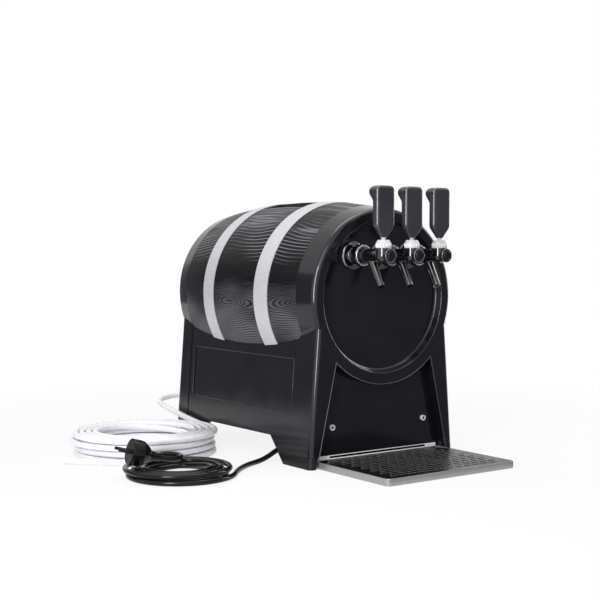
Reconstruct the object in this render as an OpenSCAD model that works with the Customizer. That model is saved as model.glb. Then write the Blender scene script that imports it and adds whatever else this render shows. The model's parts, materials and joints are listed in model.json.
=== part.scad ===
// Counter-top drink cooler in the shape of a small cask on a splayed stand.
// Three taps stand on the front, a drip tray slides out below them.
// Millimetres, +Z up, front faces -Y, origin on the table under the middle.

/* [Body] */
// Depth of the body from the front face to the rear face
body_depth = 400; // [380:1:420]
// Radius of the barrel at its two ends
barrel_end_r = 135; // [130:0.5:140]
// How far the barrel swells at mid depth
barrel_bulge = 15.5; // [12:0.5:18]
// Height of the barrel's axis over the table
axis_z = 255; // [250:1:262]
// How far the feet stand out past the barrel's ends on each side
foot_spread = 8.2; // [5:0.1:13]
// Lean of the stand's sides, sideways per unit of height
side_lean = 0.076; // [0.06:0.002:0.09]
// Wall of the moulded shells
wall = 3; // [2.5:0.1:3.5]
// Gap between two shells that meet edge to edge
seam = 0.3; // [0.2:0.05:0.5]
// Rounding of the outer front and rear edges
edge_round = 8; // [6:0.5:10]

/* [Front and rear panels] */
// Depth of the smooth rim at the front of the barrel
front_rim = 40; // [34:1:44]
// Depth of the smooth rim at the rear of the barrel
rear_rim = 36; // [30:1:40]
// Depth of the front legs
front_leg = 46; // [44:1:50]
// Depth of the rear legs
rear_leg = 36; // [32:1:42]
// Width of the flat ring between the edge of the barrel's end and the dish
dish_border = 17.5; // [15:0.5:23]
// Draft of the dish wall
dish_draft = 4; // [2:0.5:6]
// Depth of the dish
dish_depth = 12; // [10:0.5:13]
// Depth of the recess over the drip tray
recess_depth = 15.5; // [14:0.5:17]
// Width of a front leg at the table
leg_low_w = 13.2; // [11.2:0.1:15.2]
// Angle from straight down at which the recess's top corners meet the barrel
recess_angle = 44.1; // [42:0.1:46]
// Height of the wall's lower edge over the table, behind the tray
wall_low_z = 4; // [2:0.5:8]
// Height of the rear wall's and side panels' lower edge
skirt_z = 40; // [36:1:44]

/* [Side panels and feet] */
// How far the side panels lie behind the faces of the legs
side_inset = 1; // [0.5:0.5:3]
// Thickness of a side panel
side_t = 4; // [3:0.5:5]
// Depth of the rectangular field in a side panel
field_depth = 1.5; // [1:0.1:2]
// Border between the field and the legs
field_border = 12; // [8:1:16]
// Lower edge of the field
field_low_z = 79; // [70:1:90]
// Upper edge of the field
field_high_z = 162; // [150:1:166]
// Length of a foot along the table
foot_length = 70; // [64:1:80]
// Height of a foot
foot_h = 18; // [14:1:22]

/* [Hoops and carry handle] */
// Width of a hoop
hoop_w = 34; // [28:1:38]
// Thickness of a hoop
hoop_t = 1.2; // [0.8:0.1:1.6]
// Distance of a hoop's middle from mid depth
hoop_offset = 77; // [75:1:84]
// Half width of the handle well
well_half_w = 50; // [44:1:54]
// Length of the handle well
well_length = 112; // [100:1:116]
// Depth of the handle well under the crown
well_depth = 55.5; // [51.5:0.5:59.5]
// Width of the carry handle
handle_w = 28; // [24:1:32]
// Thickness of the carry handle's bar
handle_t = 12; // [10:0.5:14]
// Length of each handle post
post_length = 12; // [10:1:14]

/* [Taps] */
// Distance between two taps, as a share of the dish's radius
tap_spread = 0.468; // [0.445:0.001:0.49]
// Height of the taps over the barrel's axis, as a share of the dish's radius
tap_rise = 0.536; // [0.49:0.001:0.57]
// Radius of the rosette on the dish
rosette_r = 22; // [19:0.5:24]
// Radius of the shank
shank_r = 11; // [9:0.5:12]
// Reach of the tap's upright body in front of the front face
tap_reach = 62; // [58:1:66]
// Radius of the upright body
upright_r = 12; // [11:0.5:13]
// Height of the upright body over the tap axis
upright_h = 11; // [10:0.5:13]
// Height of the bonnet
bonnet_h = 12; // [11:0.5:13]
// Radius of the bonnet
bonnet_r = 11; // [11:0.25:12]
// Height of the lever's handle
paddle_h = 76; // [70:1:80]
// Width of the handle
paddle_w = 34; // [30:1:38]
// Thickness of the handle
paddle_t = 13; // [11:0.5:15]
// Radius of the flow knob
knob_r = 10.5; // [9.5:0.5:11.5]
// Length of the flow knob
knob_length = 6.5; // [6:0.5:9]
// Outer radius of the spout
spout_r = 6; // [5:0.25:6.5]
// Length of the spout
spout_length = 46; // [40:1:52]
// Forward lean of the spout in degrees
spout_lean = 30; // [24:1:34]
// Radial running clearance of pins and stems
run_fit = 0.05; // [0.03:0.01:0.08]

/* [Drip tray] */
// Room between the drip tray and a front leg at the table
tray_room = 6; // [4:0.5:12]
// Reach of the tray in front of the front face
tray_reach = 157; // [140:1:170]
// Height of the tray's rim
tray_h = 10.5; // [10:0.5:13]
// Sheet thickness of the tray
tray_t = 1.5; // [1:0.1:1.8]
// Height of the upstand at the rear of the tray
upstand_h = 16.5; // [15:0.5:20]
// Corner radius at the front of the tray
tray_corner = 8; // [5:0.5:10]
// Thickness of the drip grid
grid_t = 2; // [1.5:0.1:2.5]
// Length of a slot in the grid
slot_length = 13; // [10:0.5:14]
// Width of a slot in the grid
slot_w = 4; // [3:0.25:4.5]
// Distance between two slots in a row
slot_pitch = 17; // [16:0.5:22]
// Distance between two rows of slots
row_pitch = 11; // [10:0.5:14]

/* [Rear fittings] */
// Height of the three inlets
inlet_z = 62; // [58:1:70]
// How far the inlets stand out of the rear face
inlet_reach = 25; // [22:0.5:30]
// Radius of an inlet
inlet_r = 9; // [8:0.5:10]
// Radius of the fan opening
fan_open_r = 70; // [66:1:74]
// Distance of the rear controls from the barrel's top edge
control_inset = 40; // [38:1:42]
// Distance of the rear controls from the middle
control_x = 45; // [42:1:48]
// Height of a louvre slot
louvre_h = 4; // [3:0.5:5]
// Distance between two louvre slots
louvre_pitch = 11; // [9:0.5:13]

/* [Hose and cord] */
// Outside diameter of the drink hose
hose_d = 9.5; // [9.5:0.5:10]
// Turns of the hose coil, in 24 steps a turn
hose_steps = 369; // [345:24:369]
// Radius of the hose coil's outer turn
hose_coil_r = 115; // [113:0.5:115]
// Distance between turns of the hose coil in a layer
hose_pitch = 10.6; // [10.6:0.1:11]
// Distance between layers of the hose coil
hose_rise = 10.2; // [10.2:0.1:10.4]
// Length of the hose's loose end
hose_end = 90; // [60:5:100]
// Diameter of the mains cord
cord_d = 8; // [7.5:0.1:8.2]
// Turns of the cord coil, in 24 steps a turn
cord_steps = 134; // [110:24:134]
// Radius of the cord coil's outer turn
cord_coil_r = 80; // [80:0.5:81]
// Distance between turns of the cord coil in a layer
cord_pitch = 13; // [12:0.5:13]
// Distance between layers of the cord coil
cord_rise = 8.6; // [8.6:0.1:9]
// Radius of the plug
plug_r = 19; // [17:0.5:19.5]
// Length of the plug's body
plug_length = 28; // [24:1:32]

/* [Hidden] */
$fn = 64;

// Sizes that follow the barrel and the stand
foot_half_w = barrel_end_r + foot_spread;
dish_r = barrel_end_r - dish_border;
recess_low_w = foot_half_w - leg_low_w;
corner_lap = 2;
recess_top_w = barrel_end_r * sin(recess_angle);
recess_top_z = axis_z - barrel_end_r * cos(recess_angle) + corner_lap;
well_floor_z = axis_z + barrel_end_r + barrel_bulge - well_depth;
tap_pitch = round(tap_spread * dish_r);
tap_z = axis_z + round(tap_rise * dish_r);
tray_half_w = recess_low_w - tray_room;
// Front face of the body, so that the origin lies midway between tray front and inlet mouths
face_y = (tray_reach - body_depth - inlet_reach) / 2;
mid_depth = body_depth / 2;
// Radius of the arc that swells the barrel along its length
swell_r = (mid_depth * mid_depth + barrel_bulge * barrel_bulge) / (2 * barrel_bulge);
function barrel_r(y) = barrel_end_r + barrel_bulge - swell_r + sqrt(swell_r * swell_r - pow(y - mid_depth, 2));
// Half width of the stand at a height
function stand_w(z) = foot_half_w - side_lean * z;
lean_angle = atan(side_lean);
// Height at which the stand's sides meet the end of the barrel
meet_b = foot_half_w * side_lean + axis_z;
meet_a = 1 + side_lean * side_lean;
meet_c = foot_half_w * foot_half_w + axis_z * axis_z - barrel_end_r * barrel_end_r;
meet_z = (meet_b - sqrt(meet_b * meet_b - meet_a * meet_c)) / meet_a;
// Lower edge of the barrel cover, tucked behind the side panels
cover_low_z = meet_z - 38;
curve_step = 20;
big = 1000;

tap_xs = [-tap_pitch, 0, tap_pitch];
bonnet_z = tap_z + upright_h;
bonnet_top = bonnet_z + bonnet_h;
pivot_z = bonnet_z + bonnet_h / 2;
pin_r = 1.5;
rosette_t = 5;
shank_nut_t = 12;
nut_front = -4;
nut_t = 13;
nut_r = 16.5;
knob_stem_r = 3;
boss_reach = upright_r + 0.5;
knob_gap = 0.4;

screw_head_t = 3;
mouth_round = 2.5;
floor_round = 5;
arc_steps = 6;

grid_clear = 0.3;
upstand_t = 1.5;
tray_rear = recess_depth - 0.5;
ledge_w = 3;

base_t = 3;
base_z = skirt_z;
deck_z = base_z + base_t;
line_r = 5;
shank_rear = 45;
fan_hub_r = 20;
motor_inset = 34;
motor_rear = body_depth - motor_inset;
control_z = axis_z + barrel_end_r - control_inset;
rocker_r = 12;
rocker_y = body_depth - 8;

gland_inset = 73.2;
gland_x = gland_inset - foot_half_w;
gland_length = 30;
gland_y = 100;
gland_z = 22;
lift = 0.1;

// Everything is drawn with y measured from the front face, then set back to the origin
module placed() {
    translate([0, face_y, 0])
        children();
}

// Local z runs to the rear along an axis at height z
module to_rear(x, z) {
    translate([x, 0, z])
        rotate([-90, 0, 0])
            children();
}

// A flat outline in x and z, extruded from y0 to y1
module along_depth(y0, y1) {
    translate([0, y1, 0])
        rotate([90, 0, 0])
            linear_extrude(y1 - y0)
                children();
}

// Mirrors a shape drawn for the front to the rear end
module from_rear() {
    translate([0, body_depth, 0])
        mirror([0, 1, 0])
            children();
}

// Both sides of the middle plane
module both_sides() {
    children();
    mirror([1, 0, 0])
        children();
}

// Solid of the swelling barrel between two depths, grown by some amount
module barrel_solid(y0, y1, grow) {
    steps = ceil((y1 - y0) / curve_step);
    to_rear(0, axis_z)
        rotate_extrude($fn = 180)
            polygon(concat(
                [[0, y0]],
                [for (i = [0:steps]) let (y = y0 + (y1 - y0) * i / steps) [barrel_r(y) + grow, y]],
                [[0, y1]]
            ));
}

// Shell of the barrel between two depths
module barrel_ring(y0, y1, outer, inner) {
    difference() {
        barrel_solid(y0, y1, outer);
        barrel_solid(y0 - 1, y1 + 1, inner);
    }
}

// Everything below a height
module below(z) {
    translate([-big / 2, -big / 2, z - big])
        cube(big);
}

// Outline of the stand between two heights, narrowed by some amount on each side
module stand_outline(z0, z1, narrow) {
    polygon([
        [-stand_w(z0) + narrow, z0], [stand_w(z0) - narrow, z0],
        [stand_w(z1) - narrow, z1], [-stand_w(z1) + narrow, z1]
    ]);
}

// Cutter that rounds a leaning front edge of the stand
module edge_cutter() {
    translate([foot_half_w, 0, 0])
        rotate([0, -lean_angle, 0])
            translate([0, 0, -big / 20])
                linear_extrude(meet_z + big / 20)
                    difference() {
                        translate([-edge_round, -1])
                            square(edge_round + 1);
                        translate([-edge_round, edge_round])
                            circle(edge_round);
                    }
}

// End of the barrel with its rounded edge, down to a depth
module barrel_end(depth) {
    to_rear(0, axis_z)
        rotate_extrude($fn = 180) {
            square([barrel_r(edge_round) - edge_round, edge_round]);
            intersection() {
                translate([barrel_r(edge_round) - edge_round, edge_round])
                    circle(edge_round);
                square([big, edge_round]);
            }
        }
    barrel_solid(edge_round, depth, 0);
}

// Outer solid of an end panel: barrel end and legs
module end_block(rim, leg) {
    difference() {
        union() {
            barrel_end(rim);
            along_depth(0, leg)
                stand_outline(foot_h + seam, meet_z, 0);
        }
        both_sides()
            edge_cutter();
    }
}

// Half width of the recess over the drip tray at a height
function recess_w(z) = recess_low_w - (recess_low_w - recess_top_w) * z / recess_top_z;
// Outline of the recess from a height up, narrowed all round, ending in an arc round the barrel
module recess_outline(low, narrow) {
    difference() {
        polygon([
            [-recess_w(low) + narrow, low], [recess_w(low) - narrow, low],
            [recess_top_w - narrow, recess_top_z], [-recess_top_w + narrow, recess_top_z]
        ]);
        translate([0, axis_z])
            circle(barrel_end_r + narrow, $fn = 180);
    }
}

// Section of the dish: rounded at its mouth and at its floor
module dish_section() {
    slope = atan(dish_draft / dish_depth);
    mouth_x = dish_r + mouth_round * (1 - sin(slope)) / cos(slope);
    floor_x = dish_r - (floor_round + sin(slope) * (dish_depth - floor_round)) / cos(slope);
    mouth_sweep = 90 - slope;
    polygon(concat(
        [[0, -1], [mouth_x, -1]],
        [for (i = [0:arc_steps]) let (a = -90 - mouth_sweep * i / arc_steps)
            [mouth_x + mouth_round * cos(a), mouth_round + mouth_round * sin(a)]],
        [for (i = [0:arc_steps]) let (a = slope + (90 - slope) * i / arc_steps)
            [floor_x + floor_round * cos(a), dish_depth - floor_round + floor_round * sin(a)]],
        [[0, dish_depth]]
    ));
}

module front_panel() {
    color("#26262a")
        placed()
            difference() {
                union() {
                    difference() {
                        end_block(front_rim, front_leg);
                        // Hollow of the barrel end and of the legs
                        barrel_solid(dish_depth + wall, front_rim + 1, -wall);
                        along_depth(recess_depth + wall, big)
                            stand_outline(-1, meet_z, wall);
                        // Dish behind the taps
                        to_rear(0, axis_z)
                            rotate_extrude($fn = 180)
                                dish_section();
                        // Opening over the tray
                        along_depth(-1, big)
                            recess_outline(-1, 0);
                    }
                    // Ears behind the splash panel
                    both_sides()
                        translate([screw_x - ear_half, recess_depth + wall, screw_z - ear_half])
                            cube([stand_w(screw_z + ear_half) - 1 - screw_x + ear_half, wall, 2 * ear_half]);
                }
                for (x = tap_xs)
                    to_rear(x, tap_z)
                        cylinder(h = big, r = shank_r + run_fit);
                screw_holes();
            }
}

screw_inset = 25.8;
screw_z = 58.5;
screw_x = recess_w(screw_z) - screw_inset;
screw_r = 2.4;
ear_half = 8;
module screw_holes() {
    both_sides()
        to_rear(screw_x, screw_z)
            cylinder(h = front_leg, r = screw_r + run_fit);
}

// Flat panel at the back of the recess over the tray
module splash_panel() {
    color("#26262a")
        placed()
            difference() {
                along_depth(recess_depth, recess_depth + wall)
                    recess_outline(wall_low_z, seam);
                screw_holes();
            }
}

// Socket-head screws that hold the splash panel
module panel_screws() {
    head_r = 4.5;
    head_t = screw_head_t;
    color("#c8c8cc")
        placed()
            both_sides()
                to_rear(screw_x, screw_z)
                    difference() {
                        union() {
                            translate([0, 0, recess_depth - head_t])
                                cylinder(h = head_t, r = head_r);
                            translate([0, 0, recess_depth - 1])
                                cylinder(h = wall + 9, r = screw_r);
                        }
                        translate([0, 0, recess_depth - head_t - 1])
                            cylinder(h = 3, r = 2.6, $fn = 6);
                    }
}

module rear_panel() {
    color("#26262a")
        placed()
            difference() {
                from_rear()
                    difference() {
                        end_block(rear_rim, rear_leg);
                        barrel_solid(wall, rear_rim + 1, -wall);
                        along_depth(wall, big)
                            stand_outline(-1, meet_z, wall);
                        // Opening between the rear feet
                        along_depth(-1, big)
                            stand_outline(-1, skirt_z, stand_w(0) - recess_low_w);
                        louvres();
                    }
                to_rear(0, axis_z)
                    cylinder(h = big, r = fan_open_r);
                for (x = tap_xs)
                    to_rear(x, inlet_z)
                        cylinder(h = big, r = inlet_stem_r + run_fit);
                to_rear(-control_x, control_z)
                    cylinder(h = big, r = dial_shaft_r + 0.4);
                switch_body(seam, body_depth - rear_rim, body_depth + 1);
            }
}

// Rows of air slots under the fan
module louvres() {
    slot_half_w = 78;
    for (i = [0:4])
        along_depth(-1, wall + 1)
            translate([-slot_half_w, inlet_z + 28 + i * louvre_pitch])
                square([2 * slot_half_w, louvre_h]);
}

module barrel_cover() {
    color("#3a3a3e")
        placed()
            difference() {
                barrel_ring(front_rim + seam, body_depth - rear_rim - seam, 0, -wall);
                below(cover_low_z);
                well_cutter(0);
                // Room for the front legs
                along_depth(front_rim, front_leg + seam)
                    stand_outline(-1, meet_z + seam, -seam);
            }
}

// Upright block that opens the handle well through the barrel's crown
module well_cutter(grow) {
    translate([-well_half_w - grow, mid_depth - well_length / 2 - grow, well_floor_z])
        cube([2 * (well_half_w + grow), well_length + 2 * grow, big]);
}

module hoop(side, grow) {
    y = mid_depth + side * hoop_offset;
    difference() {
        barrel_ring(y - hoop_w / 2 - grow, y + hoop_w / 2 + grow, hoop_t + grow, 0.15);
        below(cover_low_z);
    }
}

module front_hoop() {
    color("#cfcdd4")
        placed()
            hoop(-1, 0);
}

module rear_hoop() {
    color("#cfcdd4")
        placed()
            hoop(1, 0);
}

// Side panel on the right, leaning with the stand, cut to the barrel above it
module side_panel() {
    y0 = front_leg + seam;
    y1 = body_depth - rear_leg - seam;
    low = foot_h + seam + (side_inset + side_t) * side_lean;
    rise = skirt_z - low;
    difference() {
        translate([foot_half_w, 0, 0])
            rotate([0, -lean_angle, 0])
                difference() {
                    translate([-side_inset - side_t, 0, 0])
                        rotate([90, 0, 90])
                            linear_extrude(side_t)
                                polygon([
                                    [y0, low], [foot_length + low, low],
                                    [foot_length + low + rise, skirt_z],
                                    [body_depth - foot_length - low - rise, skirt_z],
                                    [body_depth - foot_length - low, low], [y1, low],
                                    [y1, meet_z + 12], [y0, meet_z + 12]
                                ]);
                    translate([-side_inset - field_depth, y0 + field_border, field_low_z])
                        cube([side_t, y1 - y0 - 2 * field_border, field_high_z - field_low_z]);
                }
        barrel_solid(front_rim, body_depth - rear_rim, seam);
        hoop(-1, seam);
        hoop(1, seam);
    }
}

module right_side_panel() {
    color("#2a2a2e")
        placed()
            side_panel();
}

module left_side_panel() {
    color("#2a2a2e")
        placed()
            mirror([1, 0, 0])
                side_panel();
}

module base_plate() {
    half_w = stand_w(deck_z) - side_inset - side_t - seam;
    y0 = recess_depth + wall + seam;
    color("#8d9094")
        placed()
            translate([-half_w, y0, base_z])
                cube([2 * half_w, body_depth - wall - seam - y0, base_t]);
}

// Soft foot under a front leg on the right
module front_foot() {
    difference() {
        along_depth(0, foot_length + foot_h)
            polygon([
                [recess_low_w + seam, 0], [foot_half_w, 0],
                [stand_w(foot_h), foot_h], [recess_low_w + seam, foot_h]
            ]);
        edge_cutter();
        translate([0, foot_length, 0])
            rotate([45, 0, 0])
                translate([0, 0, -big])
                    cube(big);
    }
}

module feet() {
    color("#1c1c1f")
        placed()
            both_sides() {
                front_foot();
                from_rear()
                    front_foot();
            }
}

// Tub under the carry handle, hung below the barrel cover
module handle_well() {
    color("#1f1f22")
        placed()
            difference() {
                intersection() {
                    barrel_solid(front_rim, body_depth - rear_rim, -wall - seam);
                    translate([0, 0, -wall])
                        well_cutter(wall);
                }
                well_cutter(0);
            }
}

handle_end = mid_depth - well_length / 2 + seam;
handle_screw_y = handle_end + post_length / 2;
handle_screw_r = 2;
handle_head_r = 4;
handle_head_t = 2;
handle_head_z = axis_z + barrel_r(handle_screw_y) - handle_head_t - 0.6;

// Bar flush with the barrel's crown on two posts
module carry_handle() {
    color("#2b2b2f")
        placed()
            difference() {
                union() {
                    intersection() {
                        barrel_ring(handle_end, body_depth - handle_end, 0, -handle_t);
                        translate([-handle_w / 2, 0, axis_z])
                            cube([handle_w, body_depth, big]);
                    }
                    intersection() {
                        barrel_solid(front_rim, body_depth - rear_rim, -handle_t / 2);
                        handle_ends()
                            translate([-handle_w / 2, handle_end, well_floor_z])
                                cube([handle_w, post_length, big]);
                    }
                }
                handle_ends()
                    translate([0, handle_screw_y, 0]) {
                        translate([0, 0, handle_head_z])
                            cylinder(h = big, r = handle_head_r + seam);
                        translate([0, 0, well_floor_z])
                            cylinder(h = big, r = handle_screw_r + run_fit);
                    }
            }
}

module handle_ends() {
    children();
    from_rear()
        children();
}

module handle_screws() {
    color("#c8c8cc")
        placed()
            handle_ends()
                translate([0, handle_screw_y, 0]) {
                    translate([0, 0, handle_head_z])
                        cylinder(h = handle_head_t, r = handle_head_r);
                    translate([0, 0, well_floor_z + 4])
                        cylinder(h = handle_head_z - well_floor_z - 3, r = handle_screw_r);
                }
}

// Local z runs forward from a point
module to_front(x, y, z) {
    translate([x, y, z])
        rotate([90, 0, 0])
            children();
}

// Threaded shank with its rosette on the dish
module tap_shank(x) {
    bore_r = 3;
    chamfer = 2;
    color("#1d1d20")
        placed()
            to_rear(x, tap_z)
                rotate_extrude()
                    polygon([
                        [bore_r, nut_front], [shank_r, nut_front], [shank_r, dish_depth - rosette_t],
                        [rosette_r - chamfer, dish_depth - rosette_t],
                        [rosette_r, dish_depth - rosette_t + chamfer], [rosette_r, dish_depth],
                        [shank_r, dish_depth], [shank_r, shank_rear], [bore_r, shank_rear]
                    ]);
}

tail_r = 10.5;

// Notched rings that couple the tap bodies to their shanks
module coupling_nuts() {
    notch = 3;
    color("#232326")
        placed()
            for (x = tap_xs)
                to_rear(x, tap_z)
                    difference() {
                        translate([0, 0, nut_front - nut_t])
                            cylinder(h = nut_t, r = nut_r);
                        translate([0, 0, nut_front - nut_t - 1])
                            cylinder(h = nut_t + 2, r = tail_r + run_fit);
                        for (a = [0:60:300])
                            rotate([0, 0, a])
                                translate([nut_r - 1.5, -notch / 2, nut_front - nut_t - 1])
                                    cube([notch, notch, nut_t + 2]);
                    }
}

// Hexagon nuts that clamp the shanks from inside
module shank_nuts() {
    color("#8b8d92")
        placed()
            for (x = tap_xs)
                to_rear(x, tap_z)
                    translate([0, 0, dish_depth + wall])
                        difference() {
                            cylinder(h = shank_nut_t, r = 1.6 * shank_r, $fn = 6);
                            translate([0, 0, -1])
                                cylinder(h = shank_nut_t + 2, r = shank_r + run_fit);
                        }
}

// Tap body with its upright, its front boss and its leaning spout
module tap_body(x) {
    spout_root = [x, -34, tap_z - 6];
    spout_bore_r = spout_r - 1.5;
    color("#1b1b1e")
        placed()
            difference() {
                union() {
                    to_front(x, nut_front, tap_z)
                        cylinder(h = tap_reach + nut_front, r = tail_r);
                    translate([x, -tap_reach, tap_z])
                        rotate_extrude() {
                            intersection() {
                                circle(upright_r);
                                translate([0, -upright_r])
                                    square(upright_r);
                            }
                            square([upright_r, upright_h]);
                        }
                    to_front(x, -tap_reach, tap_z)
                        cylinder(h = boss_reach, r = knob_r - 2);
                    translate(spout_root)
                        rotate([180 - spout_lean, 0, 0])
                            cylinder(h = spout_length, r1 = spout_r + 1.5, r2 = spout_r);
                }
                translate(spout_root)
                    rotate([180 - spout_lean, 0, 0])
                        translate([0, 0, spout_length / 2])
                            cylinder(h = spout_length, r = spout_bore_r);
                to_front(x, -tap_reach - boss_reach + knob_stem_length, tap_z)
                    cylinder(h = boss_reach, r = knob_stem_r + run_fit);
            }
}

knob_stem_length = 12;

// Knurled collar that carries the lever pin and narrows towards the lever
module tap_bonnet(x) {
    knurls = 20;
    knurl_r = 0.8;
    shell = 2;
    ring_h = 0.65 * bonnet_h;
    top_r = 0.78 * bonnet_r;
    color("#e6e6ea")
        placed()
            translate([x, -tap_reach, bonnet_z])
                difference() {
                    rotate_extrude()
                        polygon([
                            [bonnet_r - shell, 0], [bonnet_r, 0], [bonnet_r, ring_h], [top_r, bonnet_h],
                            [top_r - shell, bonnet_h], [bonnet_r - shell, ring_h]
                        ]);
                    for (i = [0:knurls - 1])
                        rotate([0, 0, (i + 0.5) * 360 / knurls])
                            translate([bonnet_r + knurl_r / 2, 0, -1])
                                cylinder(h = ring_h, r = knurl_r, $fn = 16);
                    translate([-bonnet_r - 1, 0, pivot_z - bonnet_z])
                        rotate([0, 90, 0])
                            cylinder(h = 2 * bonnet_r + 2, r = pin_r + run_fit);
                }
}

// Pins of the levers, a little sunk in the bonnets
module lever_pins() {
    pin_sunk = 0.5;
    color("#b9bbc0")
        placed()
            for (x = tap_xs)
                translate([x - bonnet_r + pin_sunk, -tap_reach, pivot_z])
                    rotate([0, 90, 0])
                        cylinder(h = 2 * (bonnet_r - pin_sunk), r = pin_r);
}

lever_gap = 3.5;
stem_r = 3.2;
neck_w = 11;
neck_t = 7;
shoulder_h = 16;

// Front outline of the paddle, from its neck up
module paddle_front() {
    corner = 7;
    polygon([
        [-neck_w / 2, 0], [neck_w / 2, 0], [paddle_w / 2, shoulder_h],
        [paddle_w / 2, paddle_h - corner], [-paddle_w / 2, paddle_h - corner], [-paddle_w / 2, shoulder_h]
    ]);
    translate([-paddle_w / 2 + corner, paddle_h - 2 * corner])
        square([paddle_w - 2 * corner, 2 * corner]);
    for (side = [-1, 1])
        translate([side * (paddle_w / 2 - corner), paddle_h - corner])
            circle(corner);
}

// Side outline of the paddle, with the finger lobe at its rear
module paddle_side() {
    lobe_r = 9;
    nose_r = 4;
    polygon([
        [-neck_t / 2, 0], [neck_t / 2, 0], [paddle_t / 2, shoulder_h],
        [paddle_t / 2, paddle_h - nose_r], [-paddle_t / 2, paddle_h - nose_r], [-paddle_t / 2, shoulder_h]
    ]);
    translate([-paddle_t / 2 + nose_r, shoulder_h])
        square([paddle_t - nose_r, paddle_h - shoulder_h]);
    translate([-paddle_t / 2 + nose_r, paddle_h - nose_r])
        circle(nose_r);
    translate([paddle_t / 2, paddle_h - lobe_r])
        circle(lobe_r);
}

// Lever with its paddle handle, hung on the pin in the bonnet
module tap_lever(x) {
    stem_low = pivot_z - 4.5;
    color("#2c2c30")
        placed()
            translate([x, -tap_reach, 0])
                difference() {
                    union() {
                        translate([0, 0, stem_low])
                            cylinder(h = bonnet_top + lever_gap + 2 - stem_low, r = stem_r);
                        translate([0, 0, bonnet_top + lever_gap])
                            intersection() {
                                along_depth(-big / 20, big / 20)
                                    paddle_front();
                                translate([-big / 20, 0, 0])
                                    rotate([90, 0, 90])
                                        linear_extrude(big / 10)
                                            paddle_side();
                            }
                    }
                    translate([-big / 20, 0, pivot_z])
                        rotate([0, 90, 0])
                            cylinder(h = big / 10, r = pin_r + run_fit);
                }
}

// Flow knob on its stem, in front of the tap body
module flow_knob(x) {
    cap = 2;
    flutes = 12;
    color("#1d1d20")
        placed()
            to_front(x, -tap_reach - boss_reach - knob_gap, tap_z)
                difference() {
                    rotate_extrude()
                        polygon([
                            [0, 1 - knob_stem_length], [knob_stem_r, 1 - knob_stem_length], [knob_stem_r, 0],
                            [knob_r - 1.5, 0], [knob_r, 1.5], [knob_r, knob_length - cap - 1.5],
                            [knob_r - 1.5, knob_length - cap], [knob_r - 3, knob_length - cap],
                            [knob_r - 3, knob_length - 1], [knob_r - 4, knob_length], [0, knob_length]
                        ]);
                    for (i = [0:flutes - 1])
                        rotate([0, 0, i * 360 / flutes])
                            translate([knob_r + 0.5, 0, -1])
                                cylinder(h = knob_length - cap - 1, r = 1.2, $fn = 16);
                }
}

// Plan of the tray with rounded front corners, narrowed on every side
module tray_plan(narrow) {
    w = tray_half_w - narrow;
    front = -tray_reach + narrow;
    corner = max(tray_corner - narrow, 1);
    translate([-w, front + corner])
        square([2 * w, tray_rear - narrow - front - corner]);
    translate([-w + corner, front])
        square([2 * (w - corner), 2 * corner]);
    for (side = [-1, 1])
        translate([side * (w - corner), front + corner])
            circle(corner);
}

module drip_tray() {
    upstand_half_w = tray_half_w - 6;
    slot_half_w = upstand_half_w - 22;
    bar_low = 1.5;
    bar_high = 1.2;
    color("#9a9ca1")
        placed() {
            difference() {
                linear_extrude(tray_h)
                    tray_plan(0);
                translate([0, 0, tray_t])
                    linear_extrude(tray_h)
                        tray_plan(tray_t);
            }
            both_sides()
                translate([tray_half_w - tray_t - ledge_w, -tray_reach + 2 * tray_corner, tray_t])
                    cube([ledge_w, tray_reach - 2 * tray_corner, tray_h - grid_t - tray_t]);
            difference() {
                translate([-upstand_half_w, tray_rear - upstand_t, 0])
                    cube([2 * upstand_half_w, upstand_t, upstand_h]);
                translate([-slot_half_w, tray_rear - upstand_t - 1, tray_h + bar_low])
                    cube([2 * slot_half_w, upstand_t + 2, upstand_h - tray_h - bar_low - bar_high]);
            }
        }
}

lift_room = 60;
side_room = 2;
grid_rear_w = recess_w(tray_h + lift_room) - side_room;

// Plan of the grid, its rear corners cut at 45 degrees so that it lifts past the recess's leaning sides
module grid_plan() {
    rear = recess_depth - screw_head_t - side_room;
    cut_reach = grid_rear_w - side_room;
    intersection() {
        tray_plan(tray_t + grid_clear);
        polygon([
            [-tray_half_w, -big], [tray_half_w, -big], [tray_half_w, cut_reach - tray_half_w],
            [cut_reach - rear, rear], [rear - cut_reach, rear], [-tray_half_w, cut_reach - tray_half_w]
        ]);
    }
}

// Lift-out grid with staggered slots
module drip_grid() {
    border = 8;
    side_border = 4;
    rows = floor((tray_reach + tray_rear - 2 * border) / row_pitch);
    columns = floor((2 * (grid_rear_w - side_border) - slot_pitch / 2) / slot_pitch);
    front = (tray_rear - tray_reach - (rows - 1) * row_pitch) / 2;
    color("#19191b")
        placed()
            translate([0, 0, tray_h - grid_t])
                linear_extrude(grid_t)
                    difference() {
                        grid_plan();
                        for (j = [0:rows - 1])
                            for (i = [0:columns - 1])
                                translate([
                                    (i - (columns - 1) / 2 + (j % 2) / 2 - 0.25) * slot_pitch - slot_length / 2,
                                    front + j * row_pitch - slot_w / 2
                                ])
                                    square([slot_length, slot_w]);
                    }
}

coil_inset = 55;
coil_depth = 27;
coil_y1 = body_depth - coil_inset;
coil_y0 = coil_y1 - coil_depth;
coil_half_w = 90;
coil_top = 335;
pot_x = 30;
pot_r = 58;
pot_h = 150;
pot_room = 14;
pot_y = coil_y0 - pot_room - pot_r;
foam = 15;
foam_room = 12;
foam_y0 = 42;
foam_y1 = pot_y - pot_r - foam_room;
foam_half_w = 95;
foam_top = 230;
block_gap = 0.3;
line_y = 95;
line_bend = 25;

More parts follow.
